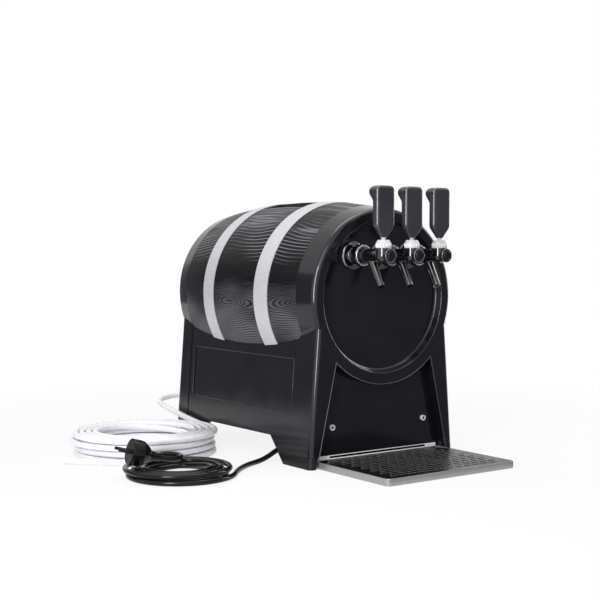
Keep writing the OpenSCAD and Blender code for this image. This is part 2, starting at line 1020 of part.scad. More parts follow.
module insulation_box() {
    color("#d9cfae")
        placed()
            difference() {
                translate([-foam_half_w, foam_y0, deck_z])
                    cube([2 * foam_half_w, foam_y1 - foam_y0, foam_top - deck_z]);
                translate([-foam_half_w + foam, foam_y0 + foam, deck_z + foam])
                    cube([2 * (foam_half_w - foam), foam_y1 - foam_y0 - 2 * foam, big]);
            }
}

// Cast block that carries the cold into the drink lines
module cooling_block() {
    inset = foam + block_gap;
    color("#a9abb0")
        placed()
            translate([-foam_half_w + inset, foam_y0 + inset, deck_z + foam])
                cube([2 * (foam_half_w - inset), foam_y1 - foam_y0 - 2 * inset, foam_top - deck_z - 2 * foam]);
}

// Lines that bend down from the shanks to the block
module product_lines() {
    block_top = foam_top - foam;
    color("#c2c4c9")
        placed()
            for (x = tap_xs) {
                to_rear(x, tap_z)
                    translate([0, 0, shank_rear])
                        cylinder(h = line_y - line_bend - shank_rear, r = line_r);
                translate([x, line_y - line_bend, tap_z - line_bend])
                    rotate([90, 0, 90])
                        rotate_extrude(angle = 90)
                            translate([line_bend, 0])
                                circle(line_r);
                translate([x, line_y, block_top])
                    cylinder(h = tap_z - line_bend - block_top, r = line_r);
            }
}

mount_h = 15;
bracket_t = 3;

// Sealed compressor pot on its bracket
module compressor() {
    low = deck_z + mount_h;
    pipe_x = 36;
    pipe_y = 20;
    pipe_rise = 30;
    color("#17171a")
        placed()
            translate([pot_x, pot_y, low]) {
                translate([-pot_r - 12, -pot_r + 4, 0])
                    cube([2 * pot_r + 24, 2 * pot_r - 8, bracket_t]);
                rotate_extrude()
                    polygon([
                        [0, bracket_t - 1], [pot_r - 4, bracket_t - 1], [pot_r, bracket_t + 6],
                        [pot_r, 0.72 * pot_h], [0.86 * pot_r, 0.9 * pot_h], [0.5 * pot_r, pot_h], [0, pot_h]
                    ]);
                translate([-pipe_x, -pipe_y, pot_h - pipe_rise])
                    cylinder(h = 2 * pipe_rise, r = line_r);
            }
}

module compressor_mounts() {
    color("#222225")
        placed()
            for (sx = [-1, 1])
                for (sy = [-1, 1])
                    translate([pot_x + sx * pot_r, pot_y + sy * (pot_r - 14), deck_z])
                        cylinder(h = mount_h, r = 9);
}

motor_r = 25;
motor_bar_h = 30;
motor_bar_t = 2;

// Fin pack of the condenser with its tubes and the bar for the fan motor
module condenser() {
    fins = 17;
    fin_t = 1.5;
    pitch = (2 * coil_half_w - fin_t) / (fins - 1);
    color("#6d7076")
        placed() {
            for (i = [0:fins - 1])
                translate([-coil_half_w + i * pitch, coil_y0, deck_z])
                    cube([fin_t, coil_y1 - coil_y0, coil_top - deck_z]);
            for (z = [deck_z + 30:45:coil_top - 20])
                translate([-coil_half_w, (coil_y0 + coil_y1) / 2, z])
                    rotate([0, 90, 0])
                        cylinder(h = 2 * coil_half_w, r = line_r);
            translate([-coil_half_w, coil_y1 - motor_bar_t, axis_z - motor_bar_h / 2])
                cube([2 * coil_half_w, motor_bar_t, motor_bar_h]);
        }
}

shaft_r = 2.5;
shaft_length = 20;
shaft_rear = motor_rear + shaft_length;

module fan_motor() {
    color("#3a3c40")
        placed()
            to_rear(0, axis_z) {
                translate([0, 0, coil_y1])
                    cylinder(h = motor_rear - coil_y1, r = motor_r);
                translate([0, 0, motor_rear - 1])
                    cylinder(h = shaft_rear - motor_rear + 1, r = shaft_r);
            }
}

// Five pitched blades on a hub
module fan_rotor() {
    hub_y = motor_rear + 2;
    hub_t = 20;
    blade_w = 28;
    blade_t = 1.5;
    blade_pitch = 35;
    tip_gap = 6;
    color("#303236")
        placed()
            to_rear(0, axis_z)
                difference() {
                    union() {
                        translate([0, 0, hub_y])
                            cylinder(h = hub_t, r = fan_hub_r);
                        for (a = [0:72:288])
                            rotate([0, 0, a])
                                translate([fan_hub_r - 3, 0, hub_y + hub_t / 2])
                                    rotate([blade_pitch, 0, 0])
                                        translate([0, -blade_w / 2, -blade_t / 2])
                                            cube([fan_open_r - tip_gap - fan_hub_r + 3, blade_w, blade_t]);
                    }
                    translate([0, 0, hub_y - 1])
                        cylinder(h = shaft_rear - hub_y + 1.5, r = shaft_r + run_fit);
                }
}

// Round finger guard over the fan opening
module fan_guard() {
    bar = 3;
    guard_t = 2;
    color("#2a2a2d")
        placed()
            to_rear(0, axis_z)
                translate([0, 0, body_depth]) {
                    for (r = [fan_open_r + 5:-11:12])
                        difference() {
                            cylinder(h = guard_t, r = r, $fn = 120);
                            translate([0, 0, -1])
                                cylinder(h = guard_t + 2, r = r - bar, $fn = 120);
                        }
                    for (a = [0:45:135])
                        rotate([0, 0, a])
                            translate([-fan_open_r - 4, -bar / 2, 0])
                                cube([2 * fan_open_r + 8, bar, guard_t]);
                }
}

dial_shaft_r = 3;
dial_r = 15;
dial_t = 13;

// Thermostat behind the rear wall with its shaft
module thermostat() {
    color("#d8d8d2")
        placed() {
            translate([-control_x - 14, body_depth - wall - 22, control_z - 14])
                cube([28, 22, 28]);
            to_rear(-control_x, control_z)
                translate([0, 0, body_depth - wall - 1])
                    cylinder(h = wall + 10, r = dial_shaft_r);
        }
}

module thermostat_knob() {
    grips = 16;
    color("#1e1e21")
        placed()
            to_rear(-control_x, control_z)
                translate([0, 0, body_depth + seam])
                    difference() {
                        cylinder(h = dial_t, r1 = dial_r, r2 = dial_r - 2);
                        translate([0, 0, -1])
                            cylinder(h = 11, r = dial_shaft_r + run_fit);
                        for (i = [0:grips - 1])
                            rotate([0, 0, i * 360 / grips])
                                translate([dial_r + 0.3, 0, 3])
                                    cylinder(h = dial_t, r = 1.6, $fn = 16);
                        translate([-0.6, 4, dial_t - 0.8])
                            cube([1.2, dial_r, 2]);
                    }
}

// Block that holds the rocker, between two depths
module switch_body(grow, y0, y1) {
    translate([control_x - 10 - grow, y0, control_z - 15 - grow])
        cube([20 + 2 * grow, y1 - y0, 30 + 2 * grow]);
}

module switch_frame() {
    lip = 2;
    color("#161618")
        placed()
            difference() {
                union() {
                    switch_body(0, rocker_y - rocker_r - 4, body_depth);
                    switch_body(lip, body_depth, body_depth + lip);
                }
                translate([control_x - 8.5, rocker_y - rocker_r - 1, control_z - 13])
                    cube([17, big, 26]);
                translate([control_x - 12, rocker_y, control_z])
                    rotate([0, 90, 0])
                        cylinder(h = 24, r = pin_r + run_fit);
            }
}

// Rocker with a hollow face, tipped to its off side
module switch_rocker() {
    tip = 8;
    hollow_r = 26;
    color("#8c1f1c")
        placed()
            translate([control_x, rocker_y, control_z])
                rotate([-tip, 0, 0])
                    difference() {
                        union() {
                            translate([-8, 0, 0])
                                rotate([0, 90, 0])
                                    cylinder(h = 16, r = rocker_r);
                            translate([-9.6, 0, 0])
                                rotate([0, 90, 0])
                                    cylinder(h = 19.2, r = pin_r);
                        }
                        translate([-12, hollow_r + 7, 0])
                            rotate([0, 90, 0])
                                cylinder(h = 24, r = hollow_r);
                    }
}

inlet_stem_r = 6;
inlet_bore = 15;

// Push-in fitting for a drink hose
module inlet(x) {
    hose_r = hose_d / 2 + run_fit;
    water_r = 3;
    mouth = body_depth + inlet_reach;
    color("#4a4c50")
        placed()
            to_rear(x, inlet_z)
                rotate_extrude()
                    polygon([
                        [water_r, body_depth - 12], [inlet_stem_r, body_depth - 12], [inlet_stem_r, body_depth],
                        [inlet_r + 2, body_depth], [inlet_r + 2, body_depth + 3], [inlet_r, body_depth + 3],
                        [inlet_r, mouth - 2], [inlet_r - 2, mouth], [hose_r, mouth],
                        [hose_r, mouth - inlet_bore], [water_r, mouth - inlet_bore]
                    ]);
}

// Box under the base where the mains cord is joined
module terminal_box() {
    box_w = 65;
    box_length = 50;
    box_low_z = 9;
    color("#232326")
        placed()
            translate([gland_x, gland_y - box_length / 2, box_low_z])
                cube([box_w, box_length, base_z - box_low_z]);
}

// Tapered strain relief of the mains cord
module cable_gland() {
    color("#151517")
        placed()
            translate([gland_x, gland_y, gland_z])
                rotate([0, -90, 0])
                    rotate_extrude()
                        polygon([
                            [0, 0], [10, 0], [10, 4], [8, 5], [7.5, 8],
                            [cord_d / 2 + 1.2, gland_length], [0, gland_length]
                        ]);
}

// Tubes follow a list of points, with a ring of corners square to the run at each point
function unit(v) = v / norm(v);
function run_at(path, i) = unit(path[min(i + 1, len(path) - 1)] - path[max(i - 1, 0)]);
function ring(centre, run, r, sides) =
    let (side = unit(cross(run, [0, 0, 1])), top = cross(side, run))
    [for (k = [0:sides - 1])
        let (a = 360 * (k + 0.5) / sides)
        centre + r * (cos(a) * side + sin(a) * top)];

module tube(path, d, sides) {
    n = len(path);
    corners = [for (i = [0:n - 1]) each ring(path[i], run_at(path, i), d / 2, sides)];
    walls = [for (i = [0:n - 2]) for (k = [0:sides - 1])
        let (a = i * sides + k, b = i * sides + (k + 1) % sides)
        each [[a, b, b + sides], [a, b + sides, a + sides]]];
    last = (n - 1) * sides;
    caps = [for (k = [1:sides - 2]) each [[0, k + 1, k], [last, last + k, last + k + 1]]];
    polyhedron(corners, concat(walls, caps), convexity = 10);
}

// Piled coil: the turns spiral in and out by layers and climb where the spiral turns back
loop_steps = 24;
function ease(x) = let (c = min(max(x, 0), 1)) c * c * (3 - 2 * c);
function sum(list, i = 0) = i < len(list) ? list[i] + sum(list, i + 1) : 0;
function coil_point(i, steps, layers, centre, r, pitch, low, rise, start, turn) =
    let (
        turns = steps / loop_steps,
        layer_turns = turns / layers,
        t = i / loop_steps,
        level = floor(t / layer_turns),
        part = t / layer_turns - level,
        inward = level % 2 == 0 ? part : 1 - part,
        radius = r - pitch * layer_turns * inward,
        climb = sum([for (m = [1:layers - 1]) ease(2 * (t - m * layer_turns) + 0.5)]),
        a = start + turn * 360 * t
    )
    [centre[0] + radius * cos(a), centre[1] + radius * sin(a), low + rise * climb];
function heading(a, turn) = turn * [-sin(a), cos(a), 0];

// Least distance between points of a coil that lie more than half a turn apart, less the tube
function least_gap(path, d) =
    min([for (i = [0:len(path) - 1])
        min([for (j = [0:len(path) - 1])
            j > i + loop_steps / 2 ? norm(path[i] - path[j]) - d : big])]);

// Places beside the body are measured in x from the outer edge of the left feet
function beside(p) = [p[0] - foot_half_w, p[1], p[2]];

hose_centre = beside([-123.8, 283, 0]);
hose_start = 225;
hose_turn = 1;
hose_low = hose_d / 2 + lift;
hose_stop = hose_start + hose_turn * 360 * hose_steps / loop_steps;
hose_loops = [for (i = [0:hose_steps])
    coil_point(i, hose_steps, 4, hose_centre, hose_coil_r, hose_pitch, hose_low, hose_rise, hose_start, hose_turn)];
hose_tail = [for (s = [hose_end, hose_end / 2, hose_d]) hose_loops[0] - s * heading(hose_start, hose_turn)];
hose_exit = hose_loops[hose_steps] + hose_d * heading(hose_stop, hose_turn);

cord_centre = beside([-173.8, 80, 0]);
cord_start = 320;
cord_turn = -1;
cord_low = cord_d / 2 + lift;
cord_stop = cord_start + cord_turn * 360 * cord_steps / loop_steps;
cord_loops = [for (i = [0:cord_steps])
    coil_point(i, cord_steps, 2, cord_centre, cord_coil_r, cord_pitch, cord_low, cord_rise, cord_start, cord_turn)];
cord_entry = cord_loops[0] - cord_d * heading(cord_start, cord_turn);
cord_exit = cord_loops[cord_steps] + cord_d * heading(cord_stop, cord_turn);

plug_entry = beside([-196.8, 96, 27]);
plug_heading = 170;
plug_tilt = 15;
plug_axis = [cos(plug_tilt) * cos(plug_heading), cos(plug_tilt) * sin(plug_heading), sin(plug_tilt)];

// Route of the cord from its gland to the coil
cord_lead_points = [
    [31.2, 100, 22], [19.2, 100, 20], [7.2, 99.5, 15.5], [-4.8, 98, 10.5], [-16.8, 95.5, 6.8],
    [-28.8, 92, 4.9], [-40.8, 87.5, 4.3], [-52.8, 81.5, 4.1], [-64.8, 74, 4.1], [-75.8, 65.5, 4.1],
    [-86.3, 56.5, 4.1], [-96.3, 46.5, 4.1]
];
// Route of the cord from the coil to its plug
cord_tail_points = [
    [-182.3, 160, 15], [-168.3, 157, 18], [-157.3, 148, 20.6], [-150.8, 135.5, 21.6], [-149.8, 121, 21.6],
    [-155.3, 108, 21.6], [-165.8, 98.5, 22], [-179.3, 94.4, 23.2]
];
// Route of the hose from its coil round the rear corner to the first inlet
hose_lead_points = [
    [-8.8, 315, 37], [-8.8, 340, 40], [-8.8, 365, 43.5], [-8.8, 390, 47], [-8.8, 412, 50],
    [-6.8, 433, 53], [0.2, 455, 56], [16.2, 473, 58.5], [39.2, 480, 60.5], [62.2, 474, 61.5], [80.2, 457, 62]
];
lead_sides = 8;
coil_sides = 6;

module cord_lead() {
    color("#131315")
        placed()
            tube(concat(
                [[gland_x - gland_length, gland_y, gland_z]],
                [for (p = cord_lead_points) beside(p)],
                [cord_entry - cord_d / 2 * heading(cord_start, cord_turn), cord_entry]
            ), cord_d, lead_sides);
}

module cord_coil() {
    echo(cord_coil_least_gap = least_gap(cord_loops, cord_d));
    color("#131315")
        placed()
            tube(concat([cord_entry], cord_loops, [cord_exit]), cord_d, coil_sides);
}

module cord_tail() {
    color("#131315")
        placed()
            tube(concat(
                [cord_exit, cord_exit + cord_d / 2 * heading(cord_stop, cord_turn)],
                [for (p = cord_tail_points) beside(p)],
                [plug_entry - cord_d * plug_axis, plug_entry]
            ), cord_d, lead_sides);
}

// Round mains plug with two pins and earth grooves
module plug() {
    relief = 20;
    face = relief + plug_length;
    pin_x = 9.5;
    color("#161618")
        placed()
            translate(plug_entry)
                rotate([0, 90 - plug_tilt, plug_heading]) {
                    difference() {
                        rotate_extrude()
                            polygon([
                                [0, 0], [cord_d / 2 + 1.2, 0], [7.5, relief - 4], [12, relief],
                                [plug_r - 1.5, relief + 8], [plug_r, relief + 11], [plug_r, face - 1],
                                [plug_r - 1, face], [0, face]
                            ]);
                        for (side = [-1, 1])
                            translate([side * plug_r - 2.5, -4.5, face - 18])
                                cube([5, 9, 20]);
                    }
                    for (side = [-1, 1])
                        translate([0, side * pin_x, face - 1])
                            cylinder(h = 20, r = 2.4);
                }
}

module hose_coil() {
    echo(hose_coil_least_gap = least_gap(hose_loops, hose_d));
    color("#e4e6ee")
        placed()
            tube(concat(hose_tail, hose_loops, [hose_exit]), hose_d, coil_sides);
}

module hose_lead() {
    seat = 12;
    mouth = body_depth + inlet_reach;
    color("#e4e6ee")
        placed()
            tube(concat(
                [hose_exit, hose_exit + hose_d / 2 * heading(hose_stop, hose_turn)],
                [for (p = hose_lead_points) beside(p)],
                [[-tap_pitch, mouth + hose_d, inlet_z], [-tap_pitch, mouth - seat, inlet_z]]
            ), hose_d, lead_sides);
}

front_panel();
splash_panel();
rear_panel();
barrel_cover();
front_hoop();
rear_hoop();
left_side_panel();
right_side_panel();
base_plate();
feet();
handle_well();
carry_handle();
handle_screws();
panel_screws();
tap_shank(tap_xs[0]);  // tap_shank_1
tap_shank(tap_xs[1]);  // tap_shank_2
tap_shank(tap_xs[2]);  // tap_shank_3
coupling_nuts();
shank_nuts();
tap_body(tap_xs[0]);  // tap_body_1
tap_body(tap_xs[1]);  // tap_body_2
tap_body(tap_xs[2]);  // tap_body_3
tap_bonnet(tap_xs[0]);  // tap_bonnet_1
tap_bonnet(tap_xs[1]);  // tap_bonnet_2
tap_bonnet(tap_xs[2]);  // tap_bonnet_3
lever_pins();
tap_lever(tap_xs[0]);  // tap_lever_1
tap_lever(tap_xs[1]);  // tap_lever_2
tap_lever(tap_xs[2]);  // tap_lever_3
flow_knob(tap_xs[0]);  // flow_knob_1
flow_knob(tap_xs[1]);  // flow_knob_2
flow_knob(tap_xs[2]);  // flow_knob_3
drip_tray();
drip_grid();
insulation_box();
cooling_block();
product_lines();
compressor();
compressor_mounts();
condenser();
fan_motor();
fan_rotor();
fan_guard();
thermostat();
thermostat_knob();
switch_frame();
switch_rocker();
inlet(tap_xs[0]);  // inlet_1
inlet(tap_xs[1]);  // inlet_2
inlet(tap_xs[2]);  // inlet_3
terminal_box();
cable_gland();
cord_lead();
cord_coil();
cord_tail();
plug();
hose_coil();
hose_lead();
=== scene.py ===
"""Looks of a counter-top wine cooler shaped as a small cask, with three taps and a drip tray.

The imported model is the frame. Metres, +Z up, the front faces -Y, the table is z = 0.
"""

import json
import math

import bmesh
import bpy
from mathutils import Matrix, Vector

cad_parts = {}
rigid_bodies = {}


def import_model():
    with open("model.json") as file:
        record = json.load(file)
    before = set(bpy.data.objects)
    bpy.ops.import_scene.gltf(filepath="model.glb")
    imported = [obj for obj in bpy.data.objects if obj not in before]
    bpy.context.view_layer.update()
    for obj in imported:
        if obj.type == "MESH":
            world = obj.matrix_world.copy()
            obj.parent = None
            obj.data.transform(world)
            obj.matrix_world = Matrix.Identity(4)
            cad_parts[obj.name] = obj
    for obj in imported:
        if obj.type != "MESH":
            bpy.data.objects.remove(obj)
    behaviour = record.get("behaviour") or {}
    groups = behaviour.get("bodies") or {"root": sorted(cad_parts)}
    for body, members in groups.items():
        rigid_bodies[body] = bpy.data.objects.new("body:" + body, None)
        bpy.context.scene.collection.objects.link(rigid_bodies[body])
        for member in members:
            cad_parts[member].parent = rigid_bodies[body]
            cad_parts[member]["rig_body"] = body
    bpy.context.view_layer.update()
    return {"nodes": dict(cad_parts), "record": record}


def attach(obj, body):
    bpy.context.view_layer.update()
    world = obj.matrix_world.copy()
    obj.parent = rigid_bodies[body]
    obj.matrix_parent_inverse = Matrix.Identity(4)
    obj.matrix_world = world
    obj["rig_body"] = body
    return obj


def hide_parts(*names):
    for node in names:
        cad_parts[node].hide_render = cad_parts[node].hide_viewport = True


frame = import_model()

# Sizes shared with the solids, in millimetres
MM = 0.001
FACE_Y = -134.0  # front face of the body
AXIS_Z = 255.0  # axis of the barrel over the table
HOOP_Y, HOOP_STEP = -11.0, 154.0  # middle of the front hoop, distance to the other one
TAP_XS = (-55.0, 0.0, 55.0)
TAP_Z = 318.0
TAP_REACH = 62.0  # from the front face to the upright axis of each tap
TRAY_H, TRAY_REAR, TRAY_REACH, TRAY_HALF_W, TRAY_RIM_W = 10.5, 15.0, 157.0, 124.0, 7.0
CORD_D, HOSE_D = 8.0, 9.5


def at(x, y, z):
    """A point in metres, from millimetres with y measured from the front face."""
    return Vector((x, y + FACE_Y, z)) * MM


def ease(x):
    """A smooth step from 0 to 1."""
    c = min(max(x, 0), 1)
    return c * c * (3 - 2 * c)


def in_scene(name, data):
    """An object with its data, linked to the scene."""
    made = bpy.data.objects.new(name, data)
    bpy.context.scene.collection.objects.link(made)
    return made


# Camera at the photograph's place
PHOTO_YAW, PHOTO_PITCH = -35.67, 2.37
camera_data = bpy.data.cameras.new("photo_camera")
camera_data.lens = 70.23
camera_data.sensor_width = 36
camera = in_scene("photo_camera", camera_data)
camera.location = (-1.1551, -1.5189, 0.3239)
camera.rotation_euler = (math.radians(90 - PHOTO_PITCH), 0, math.radians(PHOTO_YAW))
bpy.context.scene.camera = camera
bpy.context.scene.view_settings.view_transform = "Standard"


# Small helpers for node trees
def fill(tree, node, values):
    """The node with values or links on its input sockets, by name or number."""
    for socket, value in values.items():
        if isinstance(value, bpy.types.NodeSocket):
            tree.links.new(value, node.inputs[socket])
        else:
            node.inputs[socket].default_value = value
    return node


def add(tree, kind, values=None, **settings):
    """A new node with its settings and the values on its input sockets."""
    node = tree.nodes.new(kind)
    for name, value in settings.items():
        setattr(node, name, value)
    return fill(tree, node, values or {})


def calc(tree, operation, *values):
    """The result of a maths node on numbers and sockets."""
    return add(tree, "ShaderNodeMath", dict(enumerate(values)), operation=operation).outputs[0]


def blank_material(name):
    """A material, its tree and its surface shader."""
    made = bpy.data.materials.new(name)
    made.use_nodes = True
    return made, made.node_tree, made.node_tree.nodes["Principled BSDF"]


def grey(value, tint=0.0):
    """A neutral colour, a little blue where tint is above zero."""
    return (value * (1 - tint), value * (1 - tint), value * (1 + tint), 1)


def scaled(colour, by):
    """A lighter or darker colour."""
    return tuple(min(by * c, 1) for c in colour[:3]) + (1,)


def object_place(tree):
    """The piece's own coordinates in metres."""
    return add(tree, "ShaderNodeTexCoord").outputs["Object"]


def object_axes(tree):
    """The piece's own x, y and z in metres."""
    return add(tree, "ShaderNodeSeparateXYZ", {0: object_place(tree)}).outputs


def object_point(tree, stretch=(1, 1, 1)):
    """The piece's own coordinates in metres, stretched along its axes."""
    values = {"Vector": object_place(tree), "Scale": stretch}
    return add(tree, "ShaderNodeMapping", values).outputs[0]


def noise(tree, point, scale, detail, rough=0.5):
    """A cloudy factor from 0 to 1."""
    values = {"Vector": point, "Scale": scale, "Detail": detail, "Roughness": rough}
    return add(tree, "ShaderNodeTexNoise", values).outputs["Fac"]


def ramp(tree, factor, low, high, start=0.3, stop=0.7):
    """A factor mapped between two numbers."""
    values = {"Value": factor, "From Min": start, "From Max": stop, "To Min": low, "To Max": high}
    return add(tree, "ShaderNodeMapRange", values).outputs[0]


def mixed(tree, share, first, second):
    """A colour between two colours."""
    values = {"Factor": share, "A": first, "B": second}
    return add(tree, "ShaderNodeMix", values, data_type="RGBA").outputs["Result"]


def tone(tree, factor, first, second, start=0.3, stop=0.7):
    """A colour that goes from one to another as the factor goes from start to stop."""
    return mixed(tree, ramp(tree, factor, 0, 1, start, stop), first, second)


def bumped(tree, height, distance, strength=1.0):
    """The normal of a skin with a fine relief."""
    values = {"Height": height, "Distance": distance, "Strength": strength}
    return add(tree, "ShaderNodeBump", values).outputs[0]


# Finishes
def moulded(name, colour, rough, spread=0.06, cell=900, relief=0.00003,
            coat=0.0, specular=0.5, metal=0.0):
    """Moulded plastic or paint: cloudy tone, uneven gloss and a fine skin."""
    made, tree, shader = blank_material(name)
    point = object_point(tree)
    cloud = noise(tree, point, 18, 4)
    fill(tree, shader, {
        "Base Color": tone(tree, cloud, scaled(colour, 0.8), scaled(colour, 1.2)),
        "Roughness": ramp(tree, cloud, rough - spread, rough + spread),
        "Normal": bumped(tree, noise(tree, point, cell, 2), relief),
        "Metallic": metal,
        "Specular IOR Level": specular,
        "Coat Weight": coat,
        "Coat Roughness": 0.08,
    })
    return made


BRUSH_STRETCH = {"x": (6, 900, 900), "y": (900, 6, 900), "z": (900, 900, 6)}


def brushed(name, colour, rough, along="x", metal=1.0):
    """Metal with fine brush lines along one axis."""
    made, tree, shader = blank_material(name)
    lines = noise(tree, object_point(tree, BRUSH_STRETCH[along]), 1, 3)
    fill(tree, shader, {
        "Base Color": tone(tree, lines, scaled(colour, 0.82), colour),
        "Roughness": ramp(tree, lines, rough - 0.06, rough + 0.08),
        "Normal": bumped(tree, lines, 0.00002, 0.6),
        "Metallic": metal,
    })
    return made


def tray_steel(name):
    """Brushed steel; the floor under the grid is near black as painted shade, and the upstand is a
    bright non-metallic white as a painted reflection.
    """
    made = brushed(name, grey(0.4, 0.01), 0.34, "x")
    tree = made.node_tree
    shader = tree.nodes["Principled BSDF"]
    colour = shader.inputs["Base Color"].links[0].from_socket
    x, y, z = object_axes(tree)
    upstand = calc(tree, "GREATER_THAN", z, (TRAY_H + 0.3) * MM)
    # Painted shade: the tray floor inside the rim and below the grid is mixed to near black.
    shaded_floor = calc(tree, "LESS_THAN", calc(tree, "ABSOLUTE", x), (TRAY_HALF_W - TRAY_RIM_W) * MM)
    behind_rim = calc(tree, "GREATER_THAN", y, (FACE_Y - TRAY_REACH + TRAY_RIM_W) * MM)
    under_rim = calc(tree, "LESS_THAN", z, (TRAY_H - 0.2) * MM)
    shaded_floor = calc(tree, "MULTIPLY", calc(tree, "MULTIPLY", shaded_floor, behind_rim), under_rim)
    colour = mixed(tree, shaded_floor, colour, grey(0.02))
    # Painted reflection: the upstand is turned a near-white, non-metallic colour.
    colour = mixed(tree, upstand, colour, grey(0.95))
    metal = ramp(tree, upstand, 0.6, 0.0, 0, 1)
    fill(tree, shader, {"Base Color": colour, "Metallic": metal})
    return made


# Zones and lines of the barrel's grain, in metres along the arc and in lines to the metre
GRAIN_R = 0.15  # radius at which the grain is laid out
SMILE_LINES, SMILE_BEND, SMILE_SAG = 145.0, 4.0, 0.55
EYE_LINES, EYE_BEND = 290.0, 12.0
EYE_ARC, EYE_FLATNESS = 0.245, 0.22  # where the eyes at the foot lie, and how flat they are
STREAKS_FADE = (0.1, 0.13)
SMILES_GROW, SMILES_FADE = (0.075, 0.105), (0.155, 0.185)
EYES_GROW = (0.21, 0.26)


def barrel_grain(name):
    """Dark shell with moulded grain: streaks at the crown, sagging lines, flat eyes at the foot."""
    made, tree, shader = blank_material(name)
    across, along, height = object_axes(tree)
    angle = calc(tree, "ARCTAN2", across, calc(tree, "SUBTRACT", height, AXIS_Z * MM))
    arc = calc(tree, "MULTIPLY", angle, GRAIN_R)
    down = calc(tree, "ABSOLUTE", arc)
    from_hoop = calc(tree, "SUBTRACT", along, HOOP_Y * MM)

    def cloud(arcwise, lengthwise, detail=1.5):
        sheet = add(tree, "ShaderNodeCombineXYZ", {0: calc(tree, "MULTIPLY", arc, arcwise),
                                                   1: calc(tree, "MULTIPLY", along, lengthwise)})
        return noise(tree, sheet.outputs[0], 1, detail, 0.4)

    def thin_lines(phase, start):
        wave = calc(tree, "SINE", calc(tree, "MULTIPLY", phase, 2 * math.pi))
        return add(tree, "ShaderNodeMapRange", {"Value": wave, "From Min": start, "From Max": 1.0},
                   interpolation_type="SMOOTHSTEP").outputs[0]

    bend, patch, fibre = cloud(11, 7), cloud(16, 9), cloud(420, 21, 3)
    fall = calc(tree, "MULTIPLY_ADD", cloud(10, 6), 0.06, calc(tree, "SUBTRACT", down, 0.03))
    streaks = ramp(tree, cloud(330, 7, 2), 0, 1.0, 0.48, 0.62)

    sag = calc(tree, "COSINE", calc(tree, "MULTIPLY", from_hoop, 2 * math.pi / (HOOP_STEP * MM)))
    sag = calc(tree, "MULTIPLY_ADD", bend, SMILE_BEND, calc(tree, "MULTIPLY", sag, SMILE_SAG))
    smiles = thin_lines(calc(tree, "MULTIPLY_ADD", down, SMILE_LINES, sag), 0.5)

    beside = calc(tree, "WRAP", from_hoop, HOOP_STEP * MM, 0.0)
    beside = calc(tree, "SUBTRACT", beside, HOOP_STEP / 2 * MM)
    beside = calc(tree, "MULTIPLY", beside, EYE_FLATNESS)
    above = calc(tree, "SUBTRACT", down, EYE_ARC)
    away = calc(tree, "MULTIPLY_ADD", above, above, calc(tree, "MULTIPLY", beside, beside))
    away = calc(tree, "MULTIPLY", calc(tree, "SQRT", away), EYE_LINES)
    eyes = thin_lines(calc(tree, "MULTIPLY_ADD", bend, EYE_BEND, away), 0.1)
    eyes = calc(tree, "SUBTRACT", 1.0, eyes)

    drawn = calc(tree, "MULTIPLY", streaks, ramp(tree, fall, 1, 0, *STREAKS_FADE))
    belt = calc(tree, "MULTIPLY", ramp(tree, fall, 0, 1, *SMILES_GROW),
                ramp(tree, fall, 1, 0, *SMILES_FADE))
    drawn = calc(tree, "MULTIPLY_ADD", smiles, belt, drawn)
    drawn = calc(tree, "MULTIPLY_ADD", eyes, ramp(tree, fall, 0, 0.6, *EYES_GROW), drawn)
    drawn = calc(tree, "MULTIPLY", drawn, ramp(tree, patch, 0.2, 1.0, 0.36, 0.58))
    relief = calc(tree, "MULTIPLY_ADD", fibre, 0.3, drawn)
    fill(tree, shader, {
        "Base Color": tone(tree, relief, grey(0.005, 0.1), (0.19, 0.18, 0.2, 1), 0.18, 1.15),
        "Roughness": ramp(tree, fibre, 0.33, 0.47),
        "Normal": bumped(tree, relief, 0.0004, 0.7),
        "Specular IOR Level": 0.12,
    })
    return made


def milky_hose(name):
    """Soft translucent tube with a cloudy wall."""
    made, tree, shader = blank_material(name)
    cloud = noise(tree, object_point(tree), 60, 3)
    fill(tree, shader, {
        "Base Color": tone(tree, cloud, (0.88, 0.87, 0.94, 1), (0.9, 0.89, 0.96, 1)),
        "Roughness": ramp(tree, cloud, 0.2, 0.34),
        "Subsurface Weight": 0.5,
        "Subsurface Radius": (0.012, 0.012, 0.013),
        "Subsurface Scale": 1.0,
        "Coat Weight": 0.3,
    })
    return made


